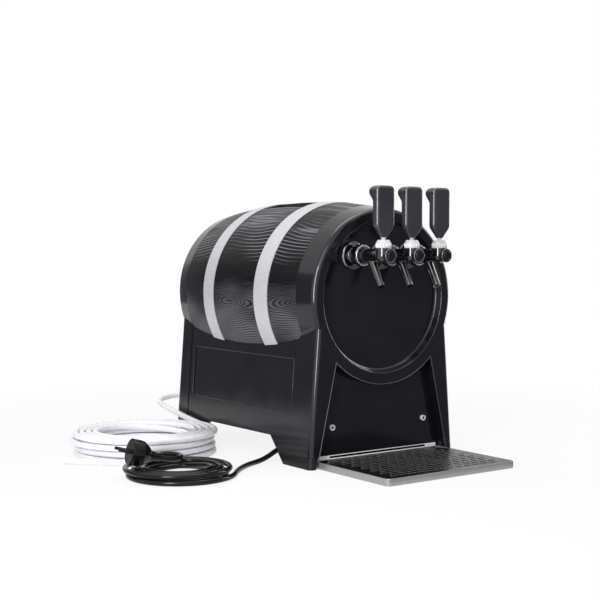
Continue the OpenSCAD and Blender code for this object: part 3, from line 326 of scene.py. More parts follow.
SLEEK = {"relief": 0.00001}  # skin of the glossy parts, relief in metres
TURNED = {"cell": 700, **SLEEK}  # skin of the turned tap parts
FINISH = {
    "housing": moulded("moulded_black", grey(0.008, 0.15), 0.13, 0.03, **SLEEK),
    # The _edge finishes are lighter copies of their slot's finish that the rounded edges get:
    # painted highlights along the edges.
    "housing_edge": moulded("moulded_black_edge", grey(0.07, 0.1), 0.22, 0.04, **SLEEK),
    "barrel_grain": barrel_grain("barrel_wood_grain"),
    "hoop_silver": brushed("hoop_silver", grey(0.62, 0.03), 0.42, "y", 0.25),
    "foot_rubber": moulded("foot_rubber", grey(0.005, 0.1), 0.34, cell=1400, specular=0.3),
    "handle_black": moulded("handle_black", grey(0.018, 0.03), 0.4),
    "bright_screw": brushed("bright_screw", grey(0.85), 0.3, "x", 0.1),
    "tap_black": moulded("tap_black", grey(0.005, 0.1), 0.1, 0.02, coat=0.5, specular=0.7,
                         **TURNED),
    # Lighter copy of tap_black for the rounded edges: a painted highlight.
    "tap_black_edge": moulded("tap_black_edge", grey(0.2, 0.08), 0.12, 0.03, coat=1.0,
                              specular=1.0, **TURNED),
    "tap_chrome": moulded("tap_black_chrome", grey(0.3, 0.05), 0.14, 0.04, metal=1.0, **TURNED),
    # Pale bright finishes of the beads on the nuts and knobs: painted highlights round their rims.
    "tap_rim": moulded("tap_painted_highlight_rim", grey(0.8, 0.02), 0.16, 0.04, metal=0.6, **TURNED),
    "knob_rim": moulded("knob_painted_highlight_rim", grey(0.35, 0.02), 0.16, 0.04, metal=0.6, **TURNED),
    "knob_black": moulded("knob_black", grey(0.006), 0.12, 0.04, **SLEEK),
    # Lighter copy of knob_black for the rounded edges: a painted highlight.
    "knob_black_edge": moulded("knob_black_edge", grey(0.12, 0.05), 0.15, 0.04, **SLEEK),
    "bonnet_white": moulded("bonnet_white", grey(0.6, 0.02), 0.3),
    # Lighter copy of bonnet_white for the ribs: with it the bonnet between the ribs is painted
    # shade in the grooves.
    "bonnet_rib": moulded("bonnet_rib", grey(0.85, 0.02), 0.3),
    "lever_black": moulded("lever_satin", grey(0.027, 0.12), 0.18, 0.03, 1600, specular=1.0,
                           **SLEEK),
    "steel": tray_steel("tray_steel"),
    "grid_black": moulded("grid_black", grey(0.004), 0.3, specular=0.2),
    # Pale finish of the grid's lips: painted glints at the slot edges.
    "grid_lip": moulded("grid_lip", grey(0.22), 0.25, 0.05),
    "foam": moulded("foam", (0.55, 0.52, 0.44, 1), 0.8, 0.1, 400, 0.0004),
    "aluminium": brushed("cast_aluminium", grey(0.55), 0.5, "z"),
    "machine_paint": moulded("machine_paint", grey(0.02), 0.35),
    "trim_black": moulded("trim_black", grey(0.014), 0.36),
    "rocker_red": moulded("rocker_red", (0.5, 0.02, 0.02, 1), 0.25),
    "fitting_grey": moulded("fitting_grey", (0.42, 0.43, 0.44, 1), 0.35),
    "cord_black": moulded("cord_black", grey(0.004), 0.2, 0.05, specular=0.25, **SLEEK),
    "hose_white": milky_hose("milky_hose"),
}

NODE_SLOT = {part["node"]: part["material_slot"] for part in frame["record"]["subparts"]}
for node_name, slot_name in NODE_SLOT.items():
    node_mesh = frame["nodes"][node_name].data
    node_mesh.materials.clear()
    node_mesh.materials.append(FINISH[slot_name])


# Smooth copies of the moulded and turned parts, most with rounded edges, in place of the solids
BODY_OF = {node: obj["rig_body"] for node, obj in frame["nodes"].items()}
OWN_FINISH = dict.fromkeys(("coupling_nuts", "tap_shank_1", "tap_shank_2", "tap_shank_3"),
                           "tap_chrome")
ROUNDED_ANGLE, CREASE_ANGLE = 30, 38  # degrees past which an edge is rounded, and stays crisp
EDGE_RADII = {  # millimetres, 0 for smooth shading alone
    "front_panel": 0, "splash_panel": 0.8, "rear_panel": 0, "left_side_panel": 0.8,
    "right_side_panel": 0.8, "feet": 1.2, "handle_well": 0.8, "carry_handle": 2.0,
    "barrel_cover": 0.6, "coupling_nuts": 1.1, "drip_tray": 0.6, "switch_frame": 0.5,
    "switch_rocker": 0.5, "thermostat_knob": 0.4, "plug": 0.6, "cable_gland": 0.5,
    "terminal_box": 1.0, "fan_guard": 0,
}
for number in (1, 2, 3):
    EDGE_RADII |= {f"tap_shank_{number}": 1.0, f"tap_body_{number}": 0.8,
                   f"tap_bonnet_{number}": 0.5, f"flow_knob_{number}": 0.7,
                   f"inlet_{number}": 0.4}


def finished(name, mesh, body, slot_name, nodes=(), finish=None):
    """A piece from a mesh, riding on its body with the finish of its slot or with its own."""
    mesh.materials.clear()
    mesh.materials.append(FINISH[finish or slot_name])
    # A slot with an _edge finish gets it as a second material: the lighter copy that paints a
    # highlight on the rounded edges.
    if slot_name + "_edge" in FINISH:
        mesh.materials.append(FINISH[slot_name + "_edge"])
    piece = in_scene(name, mesh)
    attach(piece, body)
    if nodes:
        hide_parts(*nodes)
    return piece


def plain_mesh(holder, name, all_layers):
    """The mesh that an object's modifiers make. The object itself is removed."""
    graph = bpy.context.evaluated_depsgraph_get()
    made = bpy.data.meshes.new_from_object(
        holder.evaluated_get(graph), preserve_all_data_layers=all_layers, depsgraph=graph)
    bpy.data.objects.remove(holder)
    made.name = name
    return made


def marked_copy(node, merged):
    """A copy of a solid with its sharp edges marked, its flat faces merged or left as they are."""
    shape = bmesh.new()
    shape.from_mesh(frame["nodes"][node].data)
    bmesh.ops.remove_doubles(shape, verts=shape.verts, dist=0.00002)
    if merged:
        bmesh.ops.dissolve_limit(shape, angle_limit=math.radians(1), verts=shape.verts,
                                 edges=shape.edges)
    shape.normal_update()
    shape.verts.index_update()
    places = [v.co.copy() for v in shape.verts]
    rings = [[v.index for v in face.verts] for face in shape.faces]
    sharp = {tuple(sorted((e.verts[0].index, e.verts[1].index))) for e in shape.edges
             if len(e.link_faces) == 2 and e.calc_face_angle() > math.radians(ROUNDED_ANGLE)}
    shape.free()
    mesh = bpy.data.meshes.new(node + "_soft")
    mesh.from_pydata(places, [], rings)
    mesh.update()
    marks = mesh.attributes.new("bevel_weight_edge", "FLOAT", "EDGE")
    for edge in mesh.edges:
        marks.data[edge.index].value = 1.0 if tuple(sorted(edge.vertices)) in sharp else 0.0
    return mesh


def softened(node, radius):
    """A copy of a solid with smooth shading, its sharp edges rounded if a radius is given."""
    name, slot = node + "_soft", NODE_SLOT[node]
    mesh = marked_copy(node, radius > 0)
    mesh.shade_smooth()
    mesh.set_sharp_from_angle(angle=math.radians(CREASE_ANGLE))
    holder = in_scene(name, mesh)
    if radius > 0:
        bevel = holder.modifiers.new("bevel", "BEVEL")
        bevel.width = radius * MM
        bevel.segments = 3
        bevel.limit_method = "WEIGHT"
        bevel.miter_outer = "MITER_ARC"
        # The rounded edges take the lighter _edge finish where the slot has one: a painted
        # highlight.
        bevel.material = 1 if slot + "_edge" in FINISH else -1
    weighting = holder.modifiers.new("weighted_normal", "WEIGHTED_NORMAL")
    weighting.keep_sharp = True
    weighting.weight = 50
    return finished(name, plain_mesh(holder, name, True), BODY_OF[node], slot, [node],
                    OWN_FINISH.get(node))


soft_pieces = {node: softened(node, radius) for node, radius in EDGE_RADII.items()}


# Lever handles: lofted paddles with soft edges, a finger lobe and a sunk field, on pale ferrules
PADDLE_Z, PADDLE_H, PADDLE_W, PADDLE_T = 344.5, 76.0, 34.0, 13.0
NECK_W, NECK_T, SHOULDER_H = 11.0, 7.0, 16.0
LOBE_R, CORNER_R, NOSE_R, EDGE_R = 9.0, 7.0, 4.0, 4.0
FIELD_LOW, FIELD_HIGH, FIELD_HALF_W, FIELD_SINK, FIELD_WALL = 20.0, 58.0, 11.5, 0.1, 0.6
STEM_R, STEM_LOW, STEM_TOP = 3.2, 330.5, 346
FERRULE = ((3.25, 337.0), (3.25, 343.5), (3.6, 343.8), (4.4, 344.4), (5.0, 344.7))
PADDLE_LEVELS = (
    [0, 0.25, 0.5, 0.75, 1, *range(2, 21), 20.4, 20.8, *range(22, 56, 3), 57.2, 57.6, 58]
    + [*range(59, 70)]
    + [PADDLE_H - CORNER_R + CORNER_R * math.sin(math.radians(9 * i)) for i in range(1, 11)])


def drawn_in(h, top, r):
    """How far a top rounded by radius r has drawn in at a height."""
    up = min(max(h - top + r, 0), r)
    return r - math.sqrt(r * r - up * up)


def paddle_bounds(h):
    """Half width, front and rear of the paddle at a height over its neck."""
    t = h / SHOULDER_H
    share = t if t < 0.75 else t - (t - 0.75) ** 2 if t < 1.25 else 1
    lip = 1 - math.sqrt(1 - (1 - h) ** 2) if h < 1 else 0
    half = NECK_W / 2 + (PADDLE_W - NECK_W) / 2 * share - drawn_in(h, PADDLE_H, CORNER_R) - lip
    deep = NECK_T / 2 + (PADDLE_T - NECK_T) / 2 * share
    front = drawn_in(h, PADDLE_H, NOSE_R) - deep + lip
    along = (h - PADDLE_H) / LOBE_R + 1
    bulge = math.sqrt(max(1 - along * along, 0)) if along > 0 else ease((along + 1.7) / 1.7)
    return half, front, deep + LOBE_R * bulge - lip


def round_point(x, y, r, degrees):
    """A point on a circle in the plane."""
    return x + r * math.cos(math.radians(degrees)), y + r * math.sin(math.radians(degrees))


def paddle_ring(h):
    """Points round the paddle at a height, in millimetres from the tap's upright axis."""
    half, front, rear = paddle_bounds(h)
    r = min(EDGE_R, 0.45 * (rear - front), 0.8 * half)
    sunk = front + FIELD_SINK * ease((h - FIELD_LOW) / 0.8) * ease((FIELD_HIGH - h) / 0.8)
    field = min(FIELD_HALF_W, half - r - 2 * FIELD_WALL)

    def corner(x, y, first):
        return [round_point(x, y, r, first + 15 * i) for i in range(7)]

    ring = corner(r - half, front + r, 180)
    ring += [(-field - FIELD_WALL, front), (-field, sunk), (field, sunk),
             (field + FIELD_WALL, front)]
    ring += corner(half - r, front + r, 270)
    ring += corner(half - r, rear - r, 0)
    ring += corner(r - half, rear - r, 90)
    return [(x, y, PADDLE_Z + h) for x, y in ring]


def circle_ring(r, z, steps=32):
    """Points of a level circle round the tap's upright axis."""
    return [(*round_point(0, 0, r, 360 * i / steps), z) for i in range(steps)]


def lofted(name, stacks, tap_x):
    """A smooth mesh through stacks of rings round a tap's axis, each stack closed at both ends."""
    points, faces = [], []
    for rings in stacks:
        count = len(rings[0])
        base = len(points)
        points += [at(x + tap_x, y - TAP_REACH, z) for ring in rings for x, y, z in ring]
        for low in range(base, len(points) - count, count):
            for i in range(count):
                after = (i + 1) % count
                faces.append((low + i, low + after, low + count + after, low + count + i))
        last = len(points) - count
        faces += [tuple(range(base + count - 1, base - 1, -1)), tuple(range(last, last + count))]
    mesh = bpy.data.meshes.new(name)
    mesh.from_pydata(points, [], faces)
    mesh.shade_smooth()
    mesh.set_sharp_from_angle(angle=math.radians(22))
    return mesh


for number, tap_x in enumerate(TAP_XS, 1):
    handle_name, ferrule_name = f"lever_handle_{number}", f"lever_ferrule_{number}"
    handle = lofted(handle_name, [[paddle_ring(h) for h in PADDLE_LEVELS],
                                  [circle_ring(STEM_R, z) for z in (STEM_LOW, STEM_TOP)]], tap_x)
    finished(handle_name, handle, f"lever_{number}", "lever_black", [f"tap_lever_{number}"])
    ferrule = lofted(ferrule_name, [[circle_ring(r, z) for r, z in FERRULE]], tap_x)
    finished(ferrule_name, ferrule, f"lever_{number}", "bonnet_white")


# Small repeated pieces and beads, grown with geometry nodes
PLACING = {"Centre": "Vector", "Turn": "Rotation", "Material": "Material"}
UPRIGHT, FACING = (0.0, 0.0, 0.0), (math.pi / 2, 0.0, 0.0)
BEAD_SIDES = 10


def growth(name, sizes, counts=()):
    """A geometry tree with named inputs, the sockets of these inputs and its output node."""
    tree = bpy.data.node_groups.new(name, "GeometryNodeTree")
    tree.interface.new_socket("Geometry", in_out="OUTPUT", socket_type="NodeSocketGeometry")
    kinds = {**dict.fromkeys(counts, "Int"), **dict.fromkeys(sizes, "Float"), **PLACING}
    for label, kind in kinds.items():
        tree.interface.new_socket(label, in_out="INPUT", socket_type="NodeSocket" + kind)
    return tree, tree.nodes.new("NodeGroupInput").outputs, tree.nodes.new("NodeGroupOutput")


def close_growth(tree, geometry, given, out):
    """Places the grown geometry, makes it real and gives it its material."""
    placed = add(tree, "GeometryNodeTransform", {
        "Geometry": geometry, "Translation": given["Centre"], "Rotation": given["Turn"]})
    smooth = add(tree, "GeometryNodeSetShadeSmooth", {0: placed.outputs[0]})
    real = add(tree, "GeometryNodeRealizeInstances", {0: smooth.outputs[0]})
    dressed = add(tree, "GeometryNodeSetMaterial", {
        "Geometry": real.outputs[0], "Material": given["Material"]})
    tree.links.new(dressed.outputs[0], out.inputs[0])
    return tree


def rod(tree, radius, length):
    """A short round rod."""
    return add(tree, "GeometryNodeMeshCylinder", {
        "Vertices": BEAD_SIDES, "Radius": radius, "Depth": length}).outputs[0]


def copies(tree, points, piece):
    """One copy of a piece on each point."""
    return add(tree, "GeometryNodeInstanceOnPoints", {
        "Points": points, "Instance": piece}).outputs[0]


def circle_line(tree, radius, sides):
    """A circle as a line."""
    return add(tree, "GeometryNodeCurvePrimitiveCircle", {
        "Resolution": sides, "Radius": radius}).outputs[0]


def bead_along(tree, line, radius, closed_ends=False):
    """A round bead along a line."""
    return add(tree, "GeometryNodeCurveToMesh", {
        "Curve": line, "Profile Curve": circle_line(tree, radius, BEAD_SIDES),
        "Fill Caps": closed_ends}).outputs[0]


def rib_ring_tree():
    """Upright ribs at even steps round a circle."""
    tree, given, out = growth("rib_ring", ("Radius", "Rib", "Height"), ("Ribs",))
    circle = add(tree, "GeometryNodeMeshCircle", {
        "Vertices": given["Ribs"], "Radius": given["Radius"]})
    ring = copies(tree, circle.outputs[0], rod(tree, given["Rib"], given["Height"]))
    return close_growth(tree, ring, given, out)


def lip_rows_tree():
    """Rounded lips in rows, each second row shifted by half a step."""
    tree, given, out = growth("lip_rows", ("Step", "Row step", "Length", "Lip"),
                              ("Columns", "Rows"))
    wide, deep = (calc(tree, "MULTIPLY", calc(tree, "SUBTRACT", given[count], 1.0), given[step])
                  for count, step in (("Columns", "Step"), ("Rows", "Row step")))
    net = add(tree, "GeometryNodeMeshGrid", {
        "Size X": wide, "Size Y": deep,
        "Vertices X": given["Columns"], "Vertices Y": given["Rows"]})
    place = add(tree, "GeometryNodeInputPosition").outputs[0]
    place_y = add(tree, "ShaderNodeSeparateXYZ", {0: place}).outputs["Y"]
    row = calc(tree, "DIVIDE", calc(tree, "MULTIPLY_ADD", deep, 0.5, place_y), given["Row step"])
    odd = calc(tree, "MODULO", calc(tree, "ROUND", row), 2.0)
    shift = calc(tree, "MULTIPLY", calc(tree, "MULTIPLY_ADD", odd, 0.5, -0.25), given["Step"])
    offset = add(tree, "ShaderNodeCombineXYZ", {0: shift}).outputs[0]
    moved = add(tree, "GeometryNodeSetPosition", {"Geometry": net.outputs[0], "Offset": offset})
    lying = add(tree, "GeometryNodeTransform", {
        "Geometry": rod(tree, given["Lip"], given["Length"]), "Rotation": (0, math.pi / 2, 0)})
    return close_growth(tree, copies(tree, moved.outputs[0], lying.outputs[0]), given, out)


def bead_frame_tree():
    """A round bead along a rectangle with rounded corners."""
    tree, given, out = growth("bead_frame", ("Width", "Height", "Corner", "Bead"))
    line = add(tree, "GeometryNodeCurvePrimitiveQuadrilateral", {
        "Width": given["Width"], "Height": given["Height"]})
    rounded = add(tree, "GeometryNodeFilletCurve", {
        "Curve": line.outputs[0], "Count": 4, "Radius": given["Corner"]}, mode="POLY")
    return close_growth(tree, bead_along(tree, rounded.outputs[0], given["Bead"]), given, out)


def recess_bead_tree():
    """A round bead up two leaning sides and along the arc between them."""
    tree, given, out = growth("recess_bead", (
        "Low", "Low half", "Top", "Top half", "Arc centre", "Arc radius", "Arc half", "Bead"))
    arc = add(tree, "GeometryNodeCurveArc", {
        "Resolution": 60, "Radius": given["Arc radius"],
        "Start Angle": calc(tree, "SUBTRACT", -math.pi / 2, given["Arc half"]),
        "Sweep Angle": calc(tree, "MULTIPLY", given["Arc half"], 2.0)})
    lift = add(tree, "ShaderNodeCombineXYZ", {2: given["Arc centre"]})
    lines = [add(tree, "GeometryNodeTransform", {
        "Geometry": arc.outputs[0], "Translation": lift.outputs[0], "Rotation": FACING})]
    for side in (-1.0, 1.0):
        low, top = (add(tree, "ShaderNodeCombineXYZ", {
            0: calc(tree, "MULTIPLY", given[end + " half"], side), 2: given[end]}).outputs[0]
            for end in ("Low", "Top"))
        lines.append(add(tree, "GeometryNodeCurvePrimitiveLine", {"Start": low, "End": top}))
    joined = add(tree, "GeometryNodeJoinGeometry")
    for line in lines:
        tree.links.new(line.outputs[0], joined.inputs[0])
    return close_growth(tree, bead_along(tree, joined.outputs[0], given["Bead"], True), given, out)


def rim_tree():
    """A round bead along a circle."""
    tree, given, out = growth("rim", ("Radius", "Bead"))
    line = circle_line(tree, given["Radius"], 64)
    return close_growth(tree, bead_along(tree, line, given["Bead"]), given, out)


def grown(name, tree, body, slot_name, centre, turn, sizes, others=None, finish=None):
    """A piece that a geometry tree makes: sizes in millimetres, other inputs as they are."""
    values = {"Centre": centre, "Turn": turn, "Material": FINISH[finish or slot_name],
              **{label: size * MM for label, size in sizes.items()}, **(others or {})}
    holder = in_scene(name, bpy.data.meshes.new(name + "_seed"))
    modifier = holder.modifiers.new("grow", "NODES")
    modifier.node_group = tree
    for socket in tree.interface.items_tree:
        if socket.in_out == "INPUT":
            modifier[socket.identifier] = values[socket.name]
    finished(name, plain_mesh(holder, name, False), body, slot_name, finish=finish)


# Ribs of the bonnets, in a lighter copy of the bonnet white, so the bonnet between them reads
# darker as painted shade in the grooves
BONNET_R, RIB_Z = 11.0, 332.8
rib_ring = rib_ring_tree()
for number, tap_x in enumerate(TAP_XS, 1):
    grown(f"bonnet_ribs_{number}", rib_ring, "cooler", "bonnet_white",
          at(tap_x, -TAP_REACH, RIB_Z), UPRIGHT,
          {"Radius": BONNET_R - 0.3, "Rib": 0.9, "Height": 6.2}, {"Ribs": 20}, "bonnet_rib")

# Beads round the coupling nuts and the flow knobs, in pale bright finishes that paint highlights on
# their rims
NUT_FRONT, NUT_RIM_R, KNOB_SHOULDER, KNOB_RIM_R = -17.0, 14.6, -78.7, 9.8
rim = rim_tree()
for number, tap_x in enumerate(TAP_XS, 1):
    grown(f"nut_rim_{number}", rim, "cooler", "tap_black", at(tap_x, NUT_FRONT, TAP_Z), FACING,
          {"Radius": NUT_RIM_R, "Bead": 0.6}, finish="tap_rim")
    grown(f"knob_rim_{number}", rim, f"knob_{number}", "knob_black",
          at(tap_x, KNOB_SHOULDER, TAP_Z), FACING,
          {"Radius": KNOB_RIM_R, "Bead": 0.45}, finish="knob_rim")

# Raised lips at the far edge of the grid's slots, in a pale finish that paints the slots' glints
SLOT_STEP, ROW_STEP, SLOT_W, SLOT_ROWS, SLOT_COLUMNS = 17.0, 11.0, 4.0, 14, 12
LIP_Y = (TRAY_REAR - TRAY_REACH) / 2 + SLOT_W / 2 + 0.4
grown("grid_lips", lip_rows_tree(), "grid", "grid_black", at(0, LIP_Y, TRAY_H - 0.1), UPRIGHT,
      {"Step": SLOT_STEP, "Row step": ROW_STEP, "Length": SLOT_STEP, "Lip": 0.35},
      {"Columns": SLOT_COLUMNS, "Rows": SLOT_ROWS}, "grid_lip")

# Beads round the fields of the side panels
SIDE_LEAN = math.atan(0.076)
FOOT_HALF_W, SIDE_INSET, BEAD_INSET = 143.2, 1.0, 1.3
FIELD_Y0, FIELD_Y1, FIELD_Z0, FIELD_Z1 = 58.3, 351.7, 79.0, 162.0
FIELD_Y, FIELD_Z = (FIELD_Y0 + FIELD_Y1) / 2, (FIELD_Z0 + FIELD_Z1) / 2
bead_frame = bead_frame_tree()
for side, side_name in ((-1, "left"), (1, "right")):
    depth_axis = Vector((0, 1, 0))
    up_axis = Vector((-side * math.sin(SIDE_LEAN), 0, math.cos(SIDE_LEAN)))
    turn = Matrix((depth_axis, up_axis, depth_axis.cross(up_axis))).transposed().to_euler()
    bead_x = FOOT_HALF_W - BEAD_INSET * math.cos(SIDE_LEAN) - FIELD_Z * math.sin(SIDE_LEAN)
    bead_z = FIELD_Z * math.cos(SIDE_LEAN) - SIDE_INSET * math.sin(SIDE_LEAN)
    grown(f"{side_name}_field_bead", bead_frame, "cooler", "housing",
          at(side * bead_x, FIELD_Y, bead_z), tuple(turn),
          {"Width": FIELD_Y1 - FIELD_Y0, "Height": FIELD_Z1 - FIELD_Z0, "Corner": 3, "Bead": 0.9})

# Bead along the edge of the recess over the tray, in the lighter edge finish that paints a
# highlight line
BARREL_END_R, RECESS_ARC, RECESS_LOW_W, RECESS_FOOT_Z = 135.0, math.radians(44.1), 130.0, 12.0
recess_top_w = BARREL_END_R * math.sin(RECESS_ARC)
recess_top_z = AXIS_Z - BARREL_END_R * math.cos(RECESS_ARC)
recess_foot_w = RECESS_LOW_W + (recess_top_w - RECESS_LOW_W) * RECESS_FOOT_Z / recess_top_z
grown("recess_edge_bead", recess_bead_tree(), "cooler", "housing", at(0, 0, 0), UPRIGHT,
      {"Low": RECESS_FOOT_Z, "Low half": recess_foot_w, "Top": recess_top_z,
       "Top half": recess_top_w, "Arc centre": AXIS_Z, "Arc radius": BARREL_END_R, "Bead": 0.7},
      {"Arc half": RECESS_ARC}, "housing_edge")

# Black hex plugs in the two screw sockets of the splash panel: painted shade standing in for the
# dark inside the sockets
SCREW_X, SCREW_Z, SOCKET_R, SOCKET_YS = 91.0, 58.5, 2.5, (13.1, 14.4)
SOCKET_FACES = [(0, 1, 2, 3, 4, 5), (11, 10, 9, 8, 7, 6)]
SOCKET_FACES += [(i, i + 6, (i + 1) % 6 + 6, (i + 1) % 6) for i in range(6)]
for side, side_name in ((-1, "left"), (1, "right")):
    hexagon = [round_point(side * SCREW_X, SCREW_Z, SOCKET_R, 60 * i) for i in range(6)]
    socket = bpy.data.meshes.new(f"{side_name}_screw_socket_shade")
    socket.from_pydata([at(x, y, z) for y in SOCKET_YS for x, z in hexagon], [], SOCKET_FACES)
    finished(f"{side_name}_screw_socket_shade", socket, "cooler", "trim_black")


# Routes of the mains cord and of the drink hose, as the solids follow them
LOOP_STEPS = 24


def coil(steps, layers, centre, r, pitch, low, rise, start, turn):
    """Points of a piled coil: its turns spiral in and out by layers."""
    layer_turns = steps / LOOP_STEPS / layers
    points = []
    for i in range(steps + 1):
        t = i / LOOP_STEPS
        level = math.floor(t / layer_turns)
        part = t / layer_turns - level
        inward = part if level % 2 == 0 else 1 - part
        radius = r - pitch * layer_turns * inward
        climb = sum(ease(2 * (t - m * layer_turns) + 0.5) for m in range(1, layers))
        x, y = round_point(*centre, radius, start + turn * 360 * t)
        points.append(Vector((x, y, low + rise * climb)))
    return points


def heading(degrees, turn):
    """The direction of a coil's turn at an angle."""
    a = math.radians(degrees)
    return Vector((-math.sin(a), math.cos(a), 0)) * turn


CORD_STEPS, CORD_START, CORD_TURN = 134, 320, -1
CORD_LOOPS = coil(CORD_STEPS, 2, (-317, 80), 80, 13, 4.1, 8.6, CORD_START, CORD_TURN)
CORD_IN = heading(CORD_START, CORD_TURN)
CORD_OUT = heading(CORD_START + CORD_TURN * 360 * CORD_STEPS / LOOP_STEPS, CORD_TURN)
PLUG_ENTRY = Vector((-340, 96, 27))
PLUG_HEADING, PLUG_TILT = math.radians(170), math.radians(15)
PLUG_AXIS = Vector((math.cos(PLUG_TILT) * math.cos(PLUG_HEADING),
                    math.cos(PLUG_TILT) * math.sin(PLUG_HEADING), math.sin(PLUG_TILT)))
CORD_EXIT = (-100, 100, 22)
CORD_ROUTE = [
    CORD_EXIT, (-112, 100, 22), (-124, 100, 20), (-136, 99.5, 15.5), (-148, 98, 10.5),
    (-160, 95.5, 6.8), (-172, 92, 4.9), (-184, 87.5, 4.3), (-196, 81.5, 4.1), (-208, 74, 4.1),
    (-219, 65.5, 4.1), (-229.5, 56.5, 4.1), (-239.5, 46.5, 4.1),
    CORD_LOOPS[0] - 1.5 * CORD_D * CORD_IN, CORD_LOOPS[0] - CORD_D * CORD_IN,
    *CORD_LOOPS,
    CORD_LOOPS[-1] + CORD_D * CORD_OUT, CORD_LOOPS[-1] + 1.5 * CORD_D * CORD_OUT,
    (-325.5, 160, 15), (-311.5, 157, 18), (-300.5, 148, 20.6), (-294, 135.5, 21.6),
    (-293, 121, 21.6), (-298.5, 108, 21.6), (-309, 98.5, 22), (-322.5, 94.4, 23.2),
    PLUG_ENTRY - CORD_D * PLUG_AXIS, PLUG_ENTRY,
]

HOSE_STEPS, HOSE_START, HOSE_TURN = 369, 225, 1
HOSE_LOOPS = coil(HOSE_STEPS, 4, (-267, 283), 115, 10.6, 4.85, 10.2, HOSE_START, HOSE_TURN)
HOSE_IN = heading(HOSE_START, HOSE_TURN)
HOSE_OUT = heading(HOSE_START + HOSE_TURN * 360 * HOSE_STEPS / LOOP_STEPS, HOSE_TURN)
HOSE_ROUTE = [
    *[HOSE_LOOPS[0] - s * HOSE_IN for s in (90, 45, HOSE_D)],
    *HOSE_LOOPS,
    HOSE_LOOPS[-1] + HOSE_D * HOSE_OUT, HOSE_LOOPS[-1] + 1.5 * HOSE_D * HOSE_OUT,
    (-152, 315, 37), (-152, 340, 40), (-152, 365, 43.5), (-152, 390, 47), (-152, 412, 50),
    (-150, 433, 53), (-143, 455, 56), (-127, 473, 58.5), (-104, 480, 60.5), (-81, 474, 61.5),
    (-63, 457, 62), (-55, 434.5, 62), (-55, 413, 62),
]


def round_run(name, route, diameter, slot_name, nodes):
    """A smooth round cord through a route, one open spline."""
    curve = bpy.data.curves.new(name, "CURVE")
    curve.dimensions = "3D"
    curve.bevel_depth = diameter / 2 * MM
    curve.bevel_resolution = 4
    curve.use_fill_caps = True
    curve.resolution_u = 4
    spline = curve.splines.new("BEZIER")
    spline.bezier_points.add(len(route) - 1)
    for knot, place in zip(spline.bezier_points, route):
        knot.co = at(*place)
        knot.handle_left_type = knot.handle_right_type = "AUTO"
    curve.materials.append(FINISH[slot_name])
    run = in_scene(name, curve)
    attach(run, "cooler")
    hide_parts(*nodes)
    return run


mains_cord = round_run("mains_cord", CORD_ROUTE, CORD_D, "cord_black",
                       ("cord_lead", "cord_coil", "cord_tail"))
drink_hose = round_run("drink_hose", HOSE_ROUTE[::-1], HOSE_D, "hose_white",
                       ("hose_coil", "hose_lead"))


# Pale floor and backdrop, and soft studio light
WHITE = (1, 1, 1, 1)
FLOOR_HALF, FLOOR_Z = 12.0, -0.0004
WORLD_LEVEL = 0.42  # of the light on the object, while the backdrop itself stays white


def seen_ray(tree):
    """1 for what the camera, gloss and glass see, 0 for light on the surfaces."""
    path = add(tree, "ShaderNodeLightPath").outputs
    seen = calc(tree, "MAXIMUM", path["Is Camera Ray"], path["Is Glossy Ray"])
    return calc(tree, "MAXIMUM", seen, path["Is Transmission Ray"])


def cleared_material(name):
    """A material with an empty tree, and this tree."""
    made = bpy.data.materials.new(name)
    made.use_nodes = True
    made.node_tree.nodes.clear()
    return made, made.node_tree


def floor_material():
    """White where it is seen, with a faint shadow, and plain pale ground for the light."""
    made, tree = cleared_material("pale_floor")
    lit = add(tree, "ShaderNodeBsdfDiffuse", {"Color": grey(0.86)})
    white = add(tree, "ShaderNodeEmission", {"Color": WHITE, "Strength": 1.0})
    far = add(tree, "ShaderNodeVectorMath", {0: object_place(tree)}, operation="LENGTH")
    share = add(tree, "ShaderNodeMapRange", {
        "Value": far.outputs["Value"], "From Min": 0.5, "From Max": 1.2,
        "To Min": 0.84, "To Max": 1.0}, interpolation_type="SMOOTHSTEP")
    share = calc(tree, "MULTIPLY", share.outputs[0], seen_ray(tree))
    both = add(tree, "ShaderNodeMixShader", {0: share, 1: lit.outputs[0], 2: white.outputs[0]})
    add(tree, "ShaderNodeOutputMaterial", {"Surface": both.outputs[0]})
    return made


def card_material():
    """An even dark grey that doesn't depend on the lamps."""
    made, tree = cleared_material("card_grey")
    shade = add(tree, "ShaderNodeEmission", {"Color": grey(0.2, 0.08), "Strength": 1.0})
    add(tree, "ShaderNodeOutputMaterial", {"Surface": shade.outputs[0]})
    return made


def stage_sheet(name, corners, material):
    """A flat sheet of the studio."""
    mesh = bpy.data.meshes.new(name)
    mesh.from_pydata(corners, [], [(0, 1, 2, 3)])
    mesh.materials.append(material)
    sheet = in_scene(name, mesh)
    return sheet


stage_sheet("studio_floor", [(FLOOR_HALF * x, FLOOR_HALF * y, FLOOR_Z)
                             for x, y in ((-1, -1), (1, -1), (1, 1), (-1, 1))], floor_material())

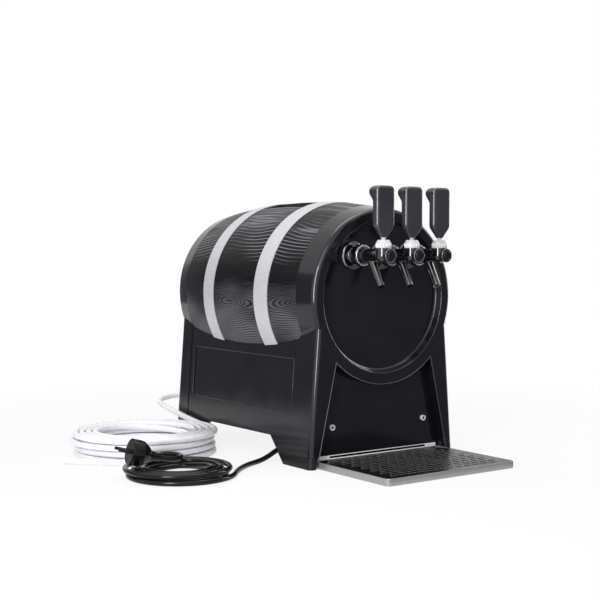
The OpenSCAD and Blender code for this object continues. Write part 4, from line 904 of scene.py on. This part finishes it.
world = bpy.data.worlds.new("studio_world")
world.use_nodes = True
bpy.context.scene.world = world
world_tree = world.node_tree
world_tree.nodes.clear()
level = ramp(world_tree, seen_ray(world_tree), WORLD_LEVEL, 1.0, 0.0, 1.0)
backdrop = add(world_tree, "ShaderNodeBackground", {"Color": WHITE, "Strength": level})
add(world_tree, "ShaderNodeOutputWorld", {"Surface": backdrop.outputs[0]})


def softbox(name, place, target, size, watts):
    """A rectangular studio lamp aimed at a point."""
    lamp = bpy.data.lights.new(name, "AREA")
    lamp.shape = "RECTANGLE"
    lamp.size, lamp.size_y = size
    lamp.energy = watts
    holder = in_scene(name, lamp)
    holder.location = place
    aim = Vector(target) - Vector(place)
    holder.rotation_euler = aim.to_track_quat("-Z", "Y").to_euler()


softbox("left_softbox", (-1.4, -0.85, 0.6), (0, -0.1, 0.3), (0.34, 1.0), 17)
softbox("key_softbox", (-1.5, -1.4, 1.7), (-0.1, 0, 0.2), (1.1, 1.1), 8)
softbox("top_softbox", (0.1, 0.2, 1.9), (0, 0.1, 0.3), (1.6, 1.0), 14)
softbox("right_strip", (1.7, -0.4, 0.8), (0, -0.1, 0.25), (0.2, 1.2), 8)

# Dark studio cards beside the object, which only show in its gloss
CARDS = {
    "right_card": [(-0.25, -0.62, 0.002), (0.5, -0.15, 0.002), (1.8, -1.1, 1.1), (0.5, -2.1, 1.1)],
    "front_card": [(-0.18, -0.31, 0.001), (0.5, -0.31, 0.001), (0.9, -1.0, 0.001),
                   (-0.25, -0.7, 0.001)],
    "side_card": [(0.135, -0.15, 0.001), (0.5, -0.15, 0.001), (0.5, -0.31, 0.001),
                  (0.135, -0.31, 0.001)],
    "rear_card": [(-1.6, 0.9, 0.0), (-0.4, 1.8, 0.0), (-0.4, 1.8, 0.9), (-1.6, 0.9, 0.9)],
}
card_grey = card_material()
for card_name, card_corners in CARDS.items():
    card = stage_sheet(card_name, card_corners, card_grey)
    card.visible_camera = card.visible_diffuse = card.visible_shadow = False

bpy.context.view_layer.update()
